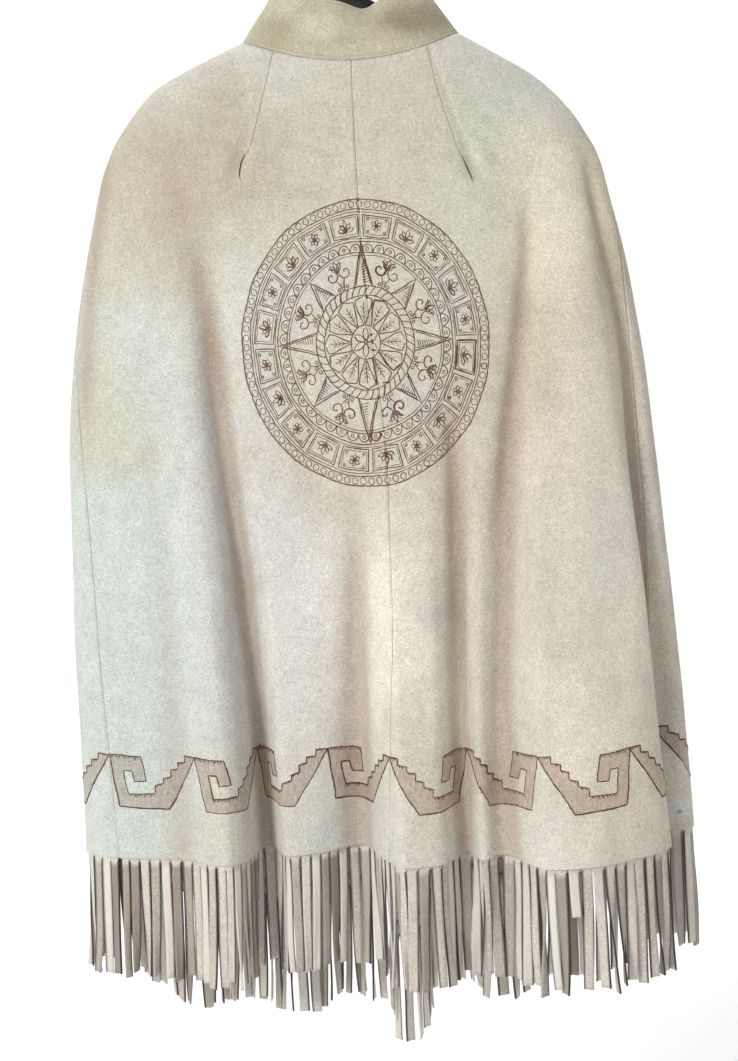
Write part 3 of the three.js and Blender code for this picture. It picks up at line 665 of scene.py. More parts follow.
# %% Make the panels
BAND_FROM, BAND_TO = 0.046, 0.108  # metres above the hem
for name, layout in layouts.items():
    uv = band_uv(name)
    in_band = (uv[..., 1] > BAND_FROM) & (uv[..., 1] < BAND_TO)
    panel = grid_object(f"{name}_panel", layout["points"], [hide, banded], uv, in_band, layout["hollow"])
    thicken(panel, HIDE)
    settle(panel, name)
    print(panel.name, len(panel.data.polygons), "faces")


# %% [markdown]
# ## Lines on the cloth
# A burnt line and a stitch are both thin lines that follow the cloth. Each is a spline of a curve object, with
# a radius at every point for the pressure of the hand. It is sunk for the most part into the hide, so only a
# flat ridge shows. Lines of one kind are gathered in one curve, which is then made a mesh.

# %% Lines from points and radii
LINE_RADIUS = {
    "hook": 1.1, "medallion": 1.25, "seam": 0.5, "slit": 0.9, "hem stitch": 0.42, "collar stitch": 0.36,
}
rng = np.random.default_rng(7)


def place_on_cloth(name, across, height):
    """The point and outward normal at a share across a panel and a height in millimetres above its hem."""
    layout = layouts[name]
    c = int(np.clip(np.searchsorted(layout["across"], across) - 1, 0, len(layout["across"]) - 2))
    part = (across - layout["across"][c]) / (layout["across"][c + 1] - layout["across"][c])
    found = []
    for side in (c, c + 1):
        heights = layout["height"][::-1, side]
        columns = [layout[key][::-1, side, k] for key in ("points", "normals") for k in range(3)]
        found.append(np.array([np.interp(height, heights, column) for column in columns]))
    both = found[0] * (1 - part) + found[1] * part
    return both[:3], both[3:]


def unzipped(placed):
    """The points and the normals of a list of pairs."""
    return [np.array(part) for part in zip(*placed)]


def thread_lines(name, lines, radius, material, sink=0.5):
    """lines are (points, normals, pressures) in millimetres. A line is sunk by a share of its radius."""
    data = bpy.data.curves.new(name, "CURVE")
    data.dimensions = "3D"
    data.bevel_depth, data.bevel_resolution, data.use_fill_caps = radius * MM, 0, True
    for points, normals, pressures in lines:
        spline = data.splines.new("POLY")
        spline.points.add(len(points) - 1)
        at = (points - normals * (sink * radius * pressures)[:, None]) * MM
        spline.points.foreach_set("co", np.concatenate([at, np.ones((len(at), 1))], 1).ravel())
        spline.points.foreach_set("radius", pressures)
    curve = bpy.data.objects.new(name + "_curve", data)
    mesh = bpy.data.meshes.new_from_object(curve)
    mesh.name = name
    mesh.materials.clear()
    mesh.materials.append(material)
    bpy.data.objects.remove(curve)
    bpy.data.curves.remove(data)
    print(name, len(lines), "lines,", len(mesh.polygons), "faces")
    return settle(add_object(name, mesh))


def resampled(points, spacing):
    """Points along a path at about the given spacing, with its corners kept."""
    points = np.asarray(points, float)
    out = [points[:1]]
    for a, b in zip(points[:-1], points[1:]):
        steps = max(1, int(round(np.linalg.norm(b - a) / spacing)))
        out.append(a + (b - a) * (np.arange(1, steps + 1) / steps)[:, None])
    return np.concatenate(out)


# %% Burnt line
# The hot pen scorches the nap dark brown and leaves the hide as matt as before. The scorch is uneven.
MATT_SHADER = {"Roughness": 0.9, "Specular IOR Level": 0.1}
burnt = two_tone("scorched_suede_line", MATT_SHADER, ("#563e34", "#866657"), 160.0, 3.0, (0.35, 0.68))


# %% Pen lines of the band, in millimetres
STROKE_SPACING, PEN_STEP = 1.9, 2.4
PEN_WOBBLE, PEN_TREMBLE = 0.30, 0.10


def band_lines(name, units_here, mirrored):
    """The outline of each hook unit on a panel, and the short strokes that shade its upper edges."""
    lines = []
    for number in range(units_here):
        paths = [(HOOK_UNIT + HOOK_UNIT[:1], 1.0)]
        shaded = [(0, 1, 3.6), (6, 7, 3.2)] + [(k, k + 1, 2.6) for k in (8, 10, 12, 14, 16)]
        for first, last, reach in shaded:
            a, b = np.array(HOOK_UNIT[first], float), np.array(HOOK_UNIT[last], float)
            count = int(np.linalg.norm(b - a) / STROKE_SPACING)
            for k in range(count):
                top = a + (b - a) * ((k + 0.5 + 0.3 * rng.uniform(-1, 1)) / count)
                lean = np.array([-0.45 - 0.3 * rng.random(), -1.0])
                paths.append(([top + (0, 0.3), top + lean * reach * rng.uniform(0.6, 1.2)], 0.85))
        for path, weight in paths:
            path = resampled(path, PEN_STEP)
            wobble = PEN_WOBBLE * np.sin(path[:, ::-1] / 5.3 + number * 1.7)
            path = path + wobble + rng.normal(0, PEN_TREMBLE, path.shape)
            share = (path[:, 0] / UNIT_WIDTH + number) / units_here
            share = np.clip(1 - share if mirrored else share, 0.0015, 0.9985)
            placed = [place_on_cloth(name, s, v + BAND_ABOVE_HEM) for s, v in zip(share, path[:, 1])]
            pressure = weight * (1 + 0.22 * rng.uniform(-1, 1, len(path)))
            if weight < 1:
                pressure[-1] *= 0.4
            lines.append((*unzipped(placed), pressure))
    return lines


hook_lines = {}
for name in PANELS:
    count = UNITS_IN_BACK_HALF if name.startswith("back") else UNITS_IN_FRONT_HALF
    lines = band_lines(name, count, name.endswith("right"))
    hook_lines[name] = thread_lines(f"{name}_hook_lines", lines, LINE_RADIUS["hook"], burnt)

# %% [markdown]
# ## The medallion
# A round pen drawing fills the space between the shoulders. It is an ordinary rosette of the kind that leather
# workers build up from a compass: a beaded rim, a ring of panels with sprigs and flowers, scallops, a ring of
# points with scrolls between them, a twisted cord and a flower of petals in the middle. Each motif is drawn
# once in polar coordinates and repeated around. The drawing is then wobbled a little and laid on the cloth by
# casting each of its points onto the back panels.

# %% Drawing tools for the medallion, on a disc of radius 1
MEDALLION_CENTRE = (2, -415)
MEDALLION_HALF = (119, 138)
DISC_STEP, DISC_WOBBLE, DISC_TREMBLE = 0.035, 0.0035, 0.0011  # how the hand runs and strays
TURN = 2 * math.pi
drawing = []  # (points on the disc, weight)


def on_disc(radius, angle):
    return np.stack([np.asarray(radius) * np.sin(angle), np.asarray(radius) * np.cos(angle)], -1)


def draw(points, weight=1.0):
    drawing.append((np.asarray(points, float), weight))


def draw_ring(radius, weight):
    draw(on_disc(radius, np.linspace(0, TURN, int(TURN * radius * 45))), weight)


def draw_circle(radius, angle, size, weight=0.8, sides=10):
    around = np.linspace(0, TURN, sides + 1)
    draw(on_disc(radius, angle) + size * np.stack([np.cos(around), np.sin(around)], -1), weight)


def turned(shape, radius, angle):
    """A motif drawn at the origin with +Y outwards, moved to a place on the disc."""
    x, y = np.asarray(shape, float).T
    out, side = on_disc(1, angle), on_disc(1, angle + math.pi / 2)
    return on_disc(radius, angle) + y[:, None] * out + x[:, None] * side


def leaf(length, width, lean=0.0, sides=7):
    """A pointed leaf outline from the origin outwards, leaning to one side."""
    s = np.linspace(0, 1, sides)
    half = width * np.sin(math.pi * s) ** 0.8
    mid = np.stack([math.sin(lean) * length * s, math.cos(lean) * length * s], -1)
    side = np.array([math.cos(lean), -math.sin(lean)])
    return np.concatenate([mid + half[:, None] * side, (mid - half[:, None] * side)[::-1]])


def spaced(count, shift=0.0):
    """The number and the angle of each of the places around the disc."""
    return [(k, TURN * (k + shift) / count) for k in range(count)]


# %% Draw the rings
RINGS = [  # radius, weight
    (1.0, 1.3), (0.932, 1.1), (0.912, 0.8), (0.728, 0.8), (0.708, 1.1), (0.632, 1.1), (0.612, 0.8),
    (0.395, 1.1), (0.330, 1.1), (0.118, 1.1),
]
for radius, weight in RINGS:
    draw_ring(radius, weight)

for _, middle in spaced(92):  # beads
    draw_circle(0.966, middle, 0.024, 0.8, 8)

WINDOWS = 20
for k, middle in spaced(WINDOWS, 0.5):  # a sprig and a flower by turns
    half = TURN / WINDOWS * 0.43
    around = np.array([-1, 1, 1, -1, -1])
    draw(on_disc([0.897, 0.897, 0.745, 0.745, 0.897], middle + half * around), 1.1)
    draw(on_disc([0.880, 0.880, 0.762, 0.762, 0.880], middle + half * 0.86 * around), 0.7)
    if k % 2:
        for lean in (-1.35, -0.7, 0, 0.7, 1.35):
            draw(turned(leaf(0.066 if lean else 0.082, 0.0135, lean), 0.784, middle), 0.85)
        draw_circle(0.778, middle, 0.010, 1.0, 6)
    else:
        for petal in range(6):
            draw(turned(leaf(0.044, 0.0135, TURN * petal / 6, 5), 0.821, middle), 0.85)
        draw_circle(0.821, middle, 0.010, 1.0, 6)
        for radius in (0.777, 0.866):
            for side in (-1, 1):
                draw_circle(radius, middle + side * half * 0.66, 0.009, 0.9, 6)

for _, middle in spaced(44, 0.5):  # scallops
    arch = np.linspace(-math.pi / 2, math.pi / 2, 9)
    draw(turned(np.stack([0.044 * np.sin(arch), 0.054 * np.cos(arch)], -1), 0.636, middle), 1.0)
    draw_circle(0.658, middle, 0.013, 0.9, 6)

POINTS = 8
for k, middle in spaced(POINTS):  # points, long and short by turns, with scrolls between them
    gap = middle + TURN / POINTS / 2
    tip = 0.606 if k % 2 else 0.70
    for inset, weight in ((0, 1.3), (0.030, 0.9)):
        half = 0.19 - inset * 1.6
        foot = 0.398 + inset * 0.5
        draw(on_disc([foot, tip - inset * 2, foot], [middle - half, middle, middle + half]), weight)
    for rung in range(8):
        radius = 0.420 + rung * 0.018
        draw(on_disc([radius, radius + 0.012], [middle, middle + 0.125 * (1 - rung / 9)]), 0.7)
    for side in (-1, 1):
        winding = np.linspace(0.3, 2.5 * math.pi, 20)
        curl = 0.006 + 0.0072 * winding
        scroll = np.stack([side * (0.060 - curl * np.cos(winding)), 0.018 + curl * np.sin(winding)], -1)
        draw(turned(scroll, 0.500, gap), 1.1)
        stem = [(side * 0.006, -0.10), (side * 0.014, -0.06), (side * 0.034, -0.020), (side * 0.006, 0.010)]
        draw(turned(stem, 0.500, gap), 1.0)
    for lean in (-0.6, 0, 0.6):
        draw(turned(leaf(0.078, 0.016, lean), 0.530, gap), 0.9)
    for step in (-0.5, 0, 0.5):
        draw_circle(0.418 + 0.02 * (step == 0), gap + step * 0.16, 0.012, 0.9, 7)

for _, start in spaced(44):  # the twist of the cord
    draw(on_disc([0.335, 0.352, 0.374, 0.391], start + np.array([0, 0.035, 0.060, 0.105])), 0.95)

for _, middle in spaced(12):  # petals with veins
    s = np.linspace(0, 1, 9)
    half = 0.235 * np.sin(math.pi * (0.10 + 0.55 * s)) ** 1.2
    half[-1] = 0
    radius = 0.122 + 0.203 * s
    draw(np.concatenate([on_disc(radius, middle - half), on_disc(radius, middle + half)[::-1]]), 1.1)
    draw(on_disc([0.130, 0.285], [middle, middle]), 0.8)
    for step in (0.170, 0.200, 0.230):
        for side in (-1, 1):
            draw(on_disc([step, step + 0.026], [middle, middle + side * 0.10]), 0.7)
for _, middle in spaced(6):
    draw(turned(leaf(0.098, 0.022, 0), 0.008, middle), 0.95)
draw_circle(0, 0, 0.014, 1.1, 7)
print("medallion:", len(drawing), "strokes")

# %% Lay the drawing on the back
vertices, quads = [], []
for name in ("back_left", "back_right"):
    grid = layouts[name]["points"]
    rows, columns = grid.shape[:2]
    corners = [len(vertices) + r * columns + c for r in range(rows - 1) for c in range(columns - 1)]
    quads += [(k, k + columns, k + columns + 1, k + 1) for k in corners]
    vertices += [tuple(p) for p in grid.reshape(-1, 3)]
back_face = BVHTree.FromPolygons(vertices, quads)


def cast_on_back(x, z):
    at, normal, _, _ = back_face.ray_cast((x, -400, z), (0, 1, 0))
    if at is None:  # exactly in the seam
        at, normal, _, _ = back_face.ray_cast((x + 0.4, -400, z), (0, 1, 0))
    return np.array(at), np.array(normal if normal.y < 0 else -normal)


medallion_lines = []
for points, weight in drawing:
    points = resampled(points, DISC_STEP)
    x, y = points.T
    wobble = DISC_WOBBLE * np.stack([np.sin(17 * y + 5 * x + 1), np.sin(15 * x - 6 * y + 2)], -1)
    points = points + wobble + rng.normal(0, DISC_TREMBLE, points.shape)
    placed = [cast_on_back(*at) for at in points * MEDALLION_HALF + MEDALLION_CENTRE]
    pressure = weight * (1 + 0.2 * rng.uniform(-1, 1, len(points)))
    medallion_lines.append((*unzipped(placed), pressure))
medallion = thread_lines("medallion_lines", medallion_lines, LINE_RADIUS["medallion"], burnt, 0.62)

# %% Painted shadow in the seams, along the darts and below the dart tips
# Dark lines of matt suede lie in the seam grooves, along the darts and in the dimples below the dart tips, as
# painted shadow.
SHADOW_SHADER = {"Roughness": 1.0, "Specular IOR Level": 0.05}
seam_shadow = two_tone("painted_shadow_in_seams", SHADOW_SHADER, ("#9c8b7a", "#b9ac9a"), 300.0)
tip_shadow_suede = two_tone("painted_shadow_at_dart_tips", SHADOW_SHADER, ("#453a33", "#6c5d51"), 300.0)

SLIT = [0.6, 1.9, 1.6, 0.3]
seam_lines, tip_shadow_lines = [], []
for name, k in (("back_left", 0), ("back_left", -1), ("back_right", -1)):
    layout = layouts[name]
    depth = np.where(layout["height"][:, k] > 20, 0.6, 0.4)
    seam_lines.append((layout["points"][:, k], layout["normals"][:, k], depth))
for bends, pressures in (
    ([(-77, -4), (-83, 22), (-91, 52), (-101, 89), (-108, 101)], 1.4),
    ([(75, -4), (81, 35), (89, 66), (98, 98), (103, 110)], 1.4),
    ([(-107, 97), (-111, 106), (-113, 116), (-112, 124)], SLIT),
    ([(103, 108), (107, 118), (111, 128), (113, 136)], SLIT),
):
    path = resampled(bends, 4.0)
    pressures = np.interp(path[:, 1], [d for _, d in bends], pressures * np.ones(len(bends)))
    placed = [cast_on_back(x, -NECK_BELOW_RAIL - down) for x, down in path if down > -9]
    into = tip_shadow_lines if bends[0][1] > 90 else seam_lines
    into.append((*unzipped(placed), pressures))
shadow_lines = (
    thread_lines("seam_shadows", seam_lines, LINE_RADIUS["seam"], seam_shadow),
    thread_lines("dart_tip_shadows", tip_shadow_lines, LINE_RADIUS["slit"], tip_shadow_suede),
)

# %% [markdown]
# ## Stitches
# The hem is sewn to the strip of the fringe with one row of pale thread, and the collar is topstitched along
# both edges. A stitch is a short line that dips into the hide at both ends.

# %% Cotton thread
# Mercerised cotton, twisted: pale, with a faint twist that breaks its surface.
def twisted_thread(name, pale, shaded):
    material, tree, principled = new_material(name, {"Roughness": 0.7, "Sheen Weight": 0.2})
    waves = {"Vector": object_place(tree), "Scale": 450.0, "Distortion": 1.0}
    twist = add(tree, "ShaderNodeTexWave", waves, bands_direction="DIAGONAL").outputs[1]
    feed(tree, principled, {"Base Color": mixed(tree, twist, pale, shaded)})
    return material


thread = twisted_thread("twisted_cotton_thread", "#e9e6dc", "#d2cdbf")
khaki_thread = twisted_thread("twisted_cotton_thread_khaki", "#bdb294", "#9c9178")

# %% Hem stitches
STITCH, STITCH_PITCH, STITCH_ABOVE_HEM = 2.5, 3.6, 3.8
ALONG_STITCH = np.array([0, 0.3, 0.7, 1])
HEM_STITCH_LIFT, COLLAR_STITCH_LIFT = (-0.35, 0.12, 0.12, -0.35), (-0.35, 0.1, 0.1, -0.35)
hem_stitches = {}
for name, layout in layouts.items():
    lines = []
    for k in range(int(layout["width"] / STITCH_PITCH)):
        start = (k + 0.2) * STITCH_PITCH + 0.25 * rng.uniform(-1, 1)
        shares = (start + ALONG_STITCH * STITCH) / layout["width"]
        placed = [place_on_cloth(name, s, STITCH_ABOVE_HEM + 0.15 * rng.uniform(-1, 1)) for s in shares]
        points, normals = unzipped(placed)
        lines.append((points + normals * np.array(HEM_STITCH_LIFT)[:, None], normals, np.ones(4)))
    hem_stitches[name] = thread_lines(f"{name}_hem_stitches", lines, LINE_RADIUS["hem stitch"], thread, 0)

# %% [markdown]
# ## The fringe
# A fringe is a strip of suede that is cut into strands and sewn behind the hem. Each strand hangs by itself, so
# it turns, cups and swings a little in its own way, and gaps open between its neighbours. One grid makes the
# strip and all its strands: the cells between two strands are deleted below the strip, and Solidify closes the
# cut edges. Each strand carries a number of its own as an attribute, which the material turns into a slightly
# different shade.

# %% Suede of the fringe
# The same hide cut across the nap, a little greyer, each strand lighter or darker at random.
fringe_suede, tree, principled = new_material("cut_suede_fringe", SUEDE_SHADER)
colour, height = suede_nodes(tree, "#dbd2c8", [], 0.5)
strand = attribute(tree, "strand")
for low, high, tint, strength in ((0.55, 1.0, "#ece9df", 0.75), (0.45, 0.0, "#7d7063", 0.80)):
    colour = mixed(tree, ranged(tree, strand, low, high, 0.0, strength), colour, tint)
# Painted shade: one cut edge of each strand is darkened to about an eighth of its colour.
edge_shade_factor = ranged(tree, attribute(tree, "hollow"), 0.0, 0.9, 1.0, 0.13)
colour = compute_vector(tree, "SCALE", colour, edge_shade_factor)
finish_suede(tree, principled, colour, height)

# %% Sizes of the fringe
FRINGE_LENGTH, FRINGE_STRIP, FRINGE_TUCK, STRIP_GAP = 115, 14, 10, 0.9
STRAND_SHARE, FRINGE_END = 0.86, 0.2
STRAND_SPREAD, STRAND_SWING, STRAND_SWAY, STRAND_WAVE, STRAND_CUP = 4, 5, 3.4, 1.1, 1.5
STRAND_TURN = {"back_left": 78, "back_right": 92, "front_right": 78, "front_left": 78}  # degrees at most
ACROSS_STRAND = 4  # cells across a strand
STRAND_ROWS, STRIP_ROWS = 22, 2
BROKEN = {("back_right", 21): 0.35}  # a strand that has torn off, and the share of it that is left


def uneven(seed):
    value = math.sin(seed * 12.9898) * 43758.5453
    return 2 * (value - math.floor(value)) - 1


# %% Hang one comb
def comb_points(name, panel_number):
    """Points of the comb, rows by columns, and the strand that each column belongs to."""
    count = 2 * PANELS[name][2]
    margin = (1 - STRAND_SHARE) / 2
    edges = [(max(k + margin, FRINGE_END), min(k + 1 - margin, count - FRINGE_END)) for k in range(count)]
    shares = np.concatenate([np.linspace(a, b, ACROSS_STRAND + 1) for a, b in edges]) / count
    levels = (1 - FRINGE_TUCK / BACK_LENGTH, 1 - 0.004, 1)
    top, near, hem = (even_row(share, shares, *ends_of(name, share)) for share in levels)
    normal = unit(np.cross(np.gradient(hem, axis=0), near - hem))
    bottom = hem + (hem - top) * (FRINGE_STRIP / FRINGE_TUCK - 1)
    rows = np.array([top, hem, bottom]) - (HIDE + STRIP_GAP) * normal
    strand_of = np.repeat(np.arange(count), ACROSS_STRAND + 1)
    p = np.linspace(-0.5, 0.5, ACROSS_STRAND + 1)[:, None]
    hanging = np.zeros((STRAND_ROWS, *hem.shape))
    for k in range(count):
        seed = panel_number * 100 + k + 1
        mine = strand_of == k
        root = rows[-1][mine]
        middle, wide = root.mean(0), np.linalg.norm(root[-1] - root[0])
        across = (root[-1] - root[0]) / wide
        out = unit(normal[mine].mean(0) * (1, 1, 0))
        length = FRINGE_LENGTH - FRINGE_STRIP + FRINGE_TUCK + STRAND_SPREAD * uneven(seed)
        length *= BROKEN.get((name, k), 1)
        swing, sway = STRAND_SWING * uneven(seed + 31), STRAND_SWAY * uneven(seed + 47)
        turn = math.radians(STRAND_TURN[name]) * uneven(seed + 59) * abs(uneven(seed + 61)) ** 0.3
        wave, phase = STRAND_WAVE * uneven(seed + 73), 3 * uneven(seed + 79)
        cup = STRAND_CUP * uneven(seed + 83)
        for r, share in enumerate(np.linspace(0, 1, STRAND_ROWS + 1)[1:]):
            angle = turn * share**1.15 + 0.22 * math.sin(5 * share + phase) * share
            centre = middle + (0, 0, -length * share)
            centre = centre + out * (swing * share**2 + wave * math.sin(6 * share + phase) * share)
            aside = sway * share**1.6 + 0.8 * wave * math.sin(4.5 * share - phase) * share
            centre = centre + across * aside
            facing = unit(across * math.cos(angle) + out * math.sin(angle))
            depth = unit(-across * math.sin(angle) + out * math.cos(angle))
            taper = wide * (1 - 0.06 * share)
            hanging[r, mine] = centre + facing * taper * p + depth * cup * share * (4 * p**2 - 0.5)
    return np.concatenate([rows, hanging]), strand_of


combs = {}
for number, name in enumerate(PANELS):
    points, strand_of = comb_points(name, number)
    rows, columns = points.shape[:2]
    painted_edge_shade = np.zeros((rows, columns))  # painted shade on one cut edge of each strand, for the dark gap beside it
    first = np.arange(columns // (ACROSS_STRAND + 1)) * (ACROSS_STRAND + 1)
    left = np.array([uneven(3.7 * k + number) for k in range(len(first))]) > 0.3
    painted_edge_shade[STRIP_ROWS:, np.where(left, first, first + ACROSS_STRAND)] = 1
    comb = grid_object(f"{name}_fringe", points, [fringe_suede], shade=painted_edge_shade)
    work = bmesh.new()
    work.from_mesh(comb.data)
    gaps = [
        face
        for face in work.faces
        if len({int(strand_of[vertex.index % columns]) for vertex in face.verts}) > 1
        and min(vertex.index // columns for vertex in face.verts) < rows - 1 - STRIP_ROWS
    ]
    bmesh.ops.delete(work, geom=gaps, context="FACES")
    layer = work.verts.layers.float.new("strand")
    for vertex in work.verts:
        k = int(strand_of[vertex.index % columns])
        in_strip = vertex.index // columns >= rows - 1 - STRIP_ROWS
        vertex[layer] = 0.5 if in_strip else 0.5 + 0.5 * uneven(number * 100 + k + 97)
    work.to_mesh(comb.data)
    work.free()
    thicken(comb, HIDE)
    combs[name] = settle(comb, f"fringe_{name}")
    print(comb.name, len(comb.data.polygons), "faces,", int(strand_of.max()) + 1, "strands")

# %% [markdown]
# ## The collar
# The stand collar is two layers of suede, sewn into the neck seam. It rises from the seam, leans in at the
# sides and has buckled softly near the centre back. It is made like the panels, from a function that gives the
# place of each point above the neck seam.

# %% Collar shape
COLLAR_WIDTH, COLLAR_THICKNESS = 60, 2.6
COLLAR_LEAN_SIDE, COLLAR_LEAN_BACK = 33, 6
DENT = {"across": 17, "width": 19, "drop": 8, "depth": 10}
COLLAR_COLUMNS, COLLAR_ROWS, COLLAR_RIPPLE = 176, 18, 0.35

neck = even_row(0, np.linspace(0, 1, COLLAR_COLUMNS + 1), 180, 540, FRONT_GAP_NECK / 2, FRONT_GAP_NECK / 2)
collar_shares = np.sort([*np.linspace(1, 0, COLLAR_ROWS), 0.985, 0.02])[::-1]


def collar_row(share):
    side = np.abs(neck[:, 0]) / NECK_HALF_WIDTH
    lean_x = -np.sign(neck[:, 0]) * COLLAR_LEAN_SIDE * side**1.5 * share
    lean_y = -np.sign(neck[:, 1]) * COLLAR_LEAN_BACK * (1 - side) * share
    rise = np.sqrt((COLLAR_WIDTH * share) ** 2 - lean_x**2 - lean_y**2)
    dent = bell((neck[:, 0] - DENT["across"]) / DENT["width"]) * share**2 * (neck[:, 1] < 0)
    lift = np.stack([lean_x, lean_y + DENT["depth"] * dent, 0.3 + rise - DENT["drop"] * dent], -1)
    return neck + lift


collar_points = np.array([collar_row(share) for share in collar_shares])
collar_normals = outward(collar_points)
ripple = COLLAR_RIPPLE * np.sin(collar_points[..., 0] / 9 + collar_points[..., 2] / 15)
ripple *= np.sin(np.pi * collar_shares)[:, None]
collar_points += collar_normals * ripple[..., None]

# %% Collar suede
# The same hide, but an outer split of a khaki tint. Soft patches darken it right of the centre back and at the
# left, and lighten it just left of the centre back and along the neck seam.
collar_suede, tree, principled = new_material("brushed_suede_khaki", SUEDE_SHADER)
COLLAR_PATCHES = [
    ((0.066, -0.03, -0.098), (0.050, 0.2, 0.019), "#938468", 0.75),
    ((-0.076, -0.03, -0.105), (0.026, 0.2, 0.020), "#a69b7d", 0.60),
    ((-0.026, -0.03, -0.103), (0.028, 0.2, 0.019), "#d8d2ba", 0.60),
    ((0.030, -0.03, -0.128), (0.100, 0.2, 0.010), "#d2cbb2", 0.55),
]
finish_suede(tree, principled, *suede_nodes(tree, "#c3bca4", COLLAR_PATCHES, 0.25))
collar = settle(grid_object("stand_collar", collar_points, [collar_suede]), "collar")
thicken(collar, COLLAR_THICKNESS)

# %% Collar stitches
collar_run = run_along(neck)
collar_lines = []
for from_seam in (3.0, COLLAR_WIDTH - 4.5):
    share = from_seam / COLLAR_WIDTH
    r = int(np.argmin(np.abs(collar_shares - share)))
    path, normals = collar_points[r], collar_normals[r]
    for k in range(int(collar_run[-1] / STITCH_PITCH)):
        where = (k + 0.3) * STITCH_PITCH + ALONG_STITCH * STITCH
        points, normal = (
            np.stack([np.interp(where, collar_run, row[:, i]) for i in range(3)], -1)
            for row in (path, normals)
        )
        collar_lines.append((points + normal * np.array(COLLAR_STITCH_LIFT)[:, None], normal, np.ones(4)))
radius = LINE_RADIUS["collar stitch"]
collar_stitches = thread_lines("collar_stitches", collar_lines, radius, khaki_thread, 0)

# %% [markdown]
# ## The hanger and its hook
# The hanger is moulded plastic with a satin face, and its hook is drawn steel wire. Both CAD solids have the
# right shape but a coarse section, so a merged copy of each gets a Subdivision Surface.


# %% Finer copies of the hanger and the hook
def finer_copy(node, name, material, levels):
    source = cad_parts[node]
    work = bmesh.new()
    work.from_mesh(source.data)
    bmesh.ops.remove_doubles(work, verts=work.verts, dist=1e-5)
    for face in work.faces:
        face.smooth = True
    made = add_mesh(name, work, material)
    rounder = made.modifiers.new("rounder", "SUBSURF")
    rounder.levels = rounder.render_levels = levels
    print(name, len(made.data.polygons), "faces before subdivision")
    return settle(made, node)


SCRATCH_STRETCH = (60, 700, 700)  # noise waves in a metre: the scratches run along the hanger

# Moulded black plastic with a satin face: a soft highlight, fine scratches and a little dust.
plastic = {"Base Color": linear("#141212"), "Roughness": 0.38}
satin, tree, principled = new_material("moulded_black_plastic", plastic)
stretch = add(tree, "ShaderNodeMapping", {0: object_place(tree), 3: SCRATCH_STRETCH}).outputs[0]
scratches = noise(tree, stretch, 1.0, 4.0)[0]
worn = ranged(tree, scratches, 0.3, 0.7, 0.3, 0.5)
bump = add(tree, "ShaderNodeBump", {"Strength": 0.15, "Distance": 0.0002, "Height": scratches}).outputs[0]
colour = mixed(tree, worn, "#100e0e", "#221f1e")
feed(tree, principled, {"Base Color": colour, "Roughness": worn, "Normal": bump})
finer_copy("hanger", "hanger_body", satin, 2)

# Cold drawn steel wire, nickel plated: bright, with fine lines along it from the die.
steel = {"Base Color": linear("#c3c3c6"), "Metallic": 1.0, "Roughness": 0.25}
wire, tree, principled = new_material("drawn_steel_wire", steel)
streaks = ranged(tree, noise(tree, object_place(tree), 900.0, 3.0)[0], 0.3, 0.7, 0.18, 0.36)
feed(tree, principled, {"Base Color": mixed(tree, streaks, "#d2d2d4", "#a2a2a6"), "Roughness": streaks})
finer_copy("hook", "hook_wire", wire, 1)

# %% [markdown]
# ## The pieces on each panel
# The fringe, the hem stitches and the hook lines of each panel are gathered in a list, and the medallion and the
# lines of painted shadow join the back left panel. Suede hardly stretches, so a panel's flat size could be
# measured
# on the cloth: the width along the hem, the length from the neck seam to the hem, and the area of the outer
# face.


for name, layout in layouts.items():
    drawn = [combs[name], hem_stitches[name], hook_lines[name]]
    if name == "back_left":
        drawn += [medallion, *shadow_lines]

# %% [markdown]
# ## Stage and light
# A pale bowl of a floor that turns up into a wall all around gives a plain ground from every side. A lamp at the
# upper left gives the folds their shaded right sides, weaker ones fill the rest, and one lights the wall.

# %% Pale stage
# Matt painted board: plain white with the faintest unevenness.
board = two_tone("matt_white_board", MATT_SHADER, ("#ececec", "#f2f2f2"), 2.0)

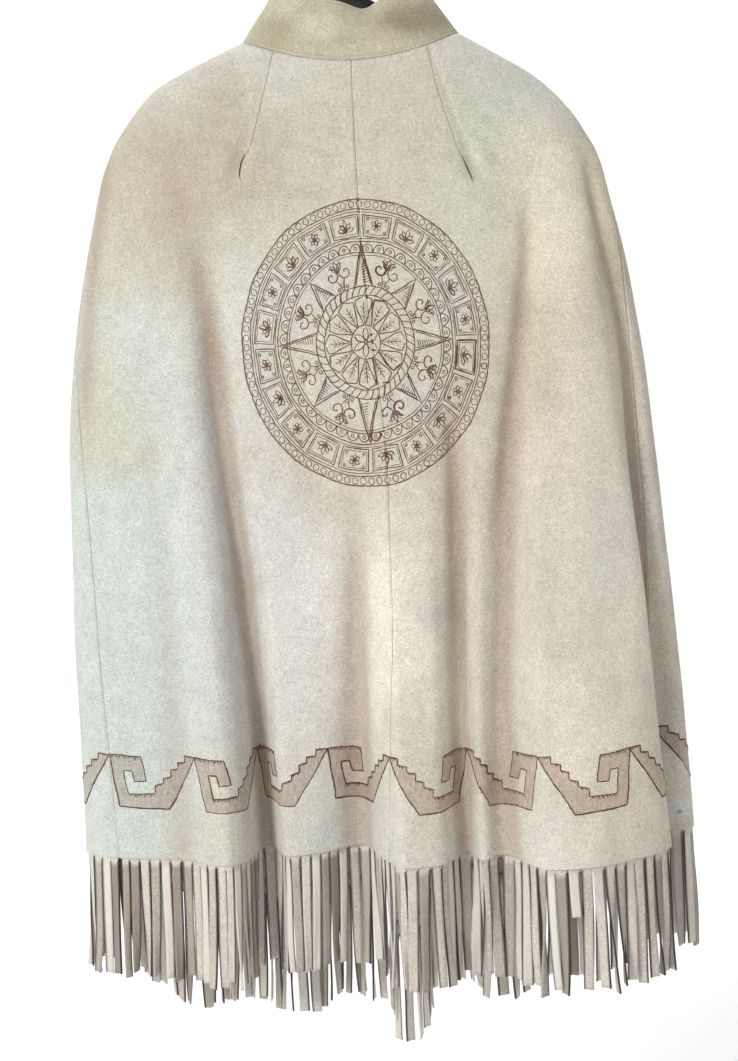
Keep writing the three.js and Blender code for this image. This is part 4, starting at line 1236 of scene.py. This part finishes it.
STAGE_FLOOR, STAGE_RADIUS, STAGE_CURVE, STAGE_TOP = -1.6, 4.6, 1.6, 3.2
profile = [(0.0, STAGE_FLOOR)]
for angle in np.linspace(0, math.pi / 2, 9):
    inward, up = STAGE_CURVE * (1 - math.sin(angle)), STAGE_CURVE * (1 - math.cos(angle))
    profile.append((STAGE_RADIUS - inward, STAGE_FLOOR + up))
profile.append((STAGE_RADIUS, STAGE_TOP))
work = bmesh.new()
line = [work.verts.new((x, 0, z)) for x, z in profile]
edges = [work.edges.new(pair) for pair in zip(line, line[1:])]
upright, centre = (0, 0, 1), (0, 0, 0)
bmesh.ops.spin(work, geom=line + edges, axis=upright, cent=centre, angle=TURN, steps=64, use_merge=True)
bmesh.ops.remove_doubles(work, verts=work.verts, dist=1e-4)
bmesh.ops.recalc_face_normals(work, faces=work.faces)
for face in work.faces:
    face.smooth = True
add_mesh("stage", work, board)

# %% Lights
LIGHTS = [  # name, place, what it points at, size in metres, power in watts, colour
    ("key", (-2.3, -3.2, 0.9), (0, 0, -0.6), 0.8, 97, "#fffefa"),
    ("fill", (2.4, -2.6, 0.2), (0, 0, -0.6), 2.4, 3, "#fff6ec"),
    ("top", (0.0, -1.2, 2.4), (0, 0, -0.4), 1.6, 4, "#ffffff"),
    ("far", (0.6, 2.8, 1.2), (0, 0, -0.6), 2.4, 12, "#ffffff"),
    ("backdrop", (0.0, 1.3, 2.8), (0, 4.6, -0.3), 2.4, 150, "#ffffff"),
]
for name, at, aim, size, power, tint in LIGHTS:
    data = bpy.data.lights.new(name, "AREA")
    data.size, data.energy, data.color = size, power, linear(tint)[:3]
    lamp = add_object(name, data)
    lamp.location = at
    lamp.rotation_euler = (Vector(aim) - lamp.location).to_track_quat("-Z", "Y").to_euler()

world = bpy.data.worlds.new("studio")
world.use_nodes = True
world.node_tree.nodes["Background"].inputs[0].default_value = linear("#f4f8fc")
world.node_tree.nodes["Background"].inputs[1].default_value = 0.12
bpy.context.scene.world = world
bpy.context.scene.view_settings.view_transform = "Standard"
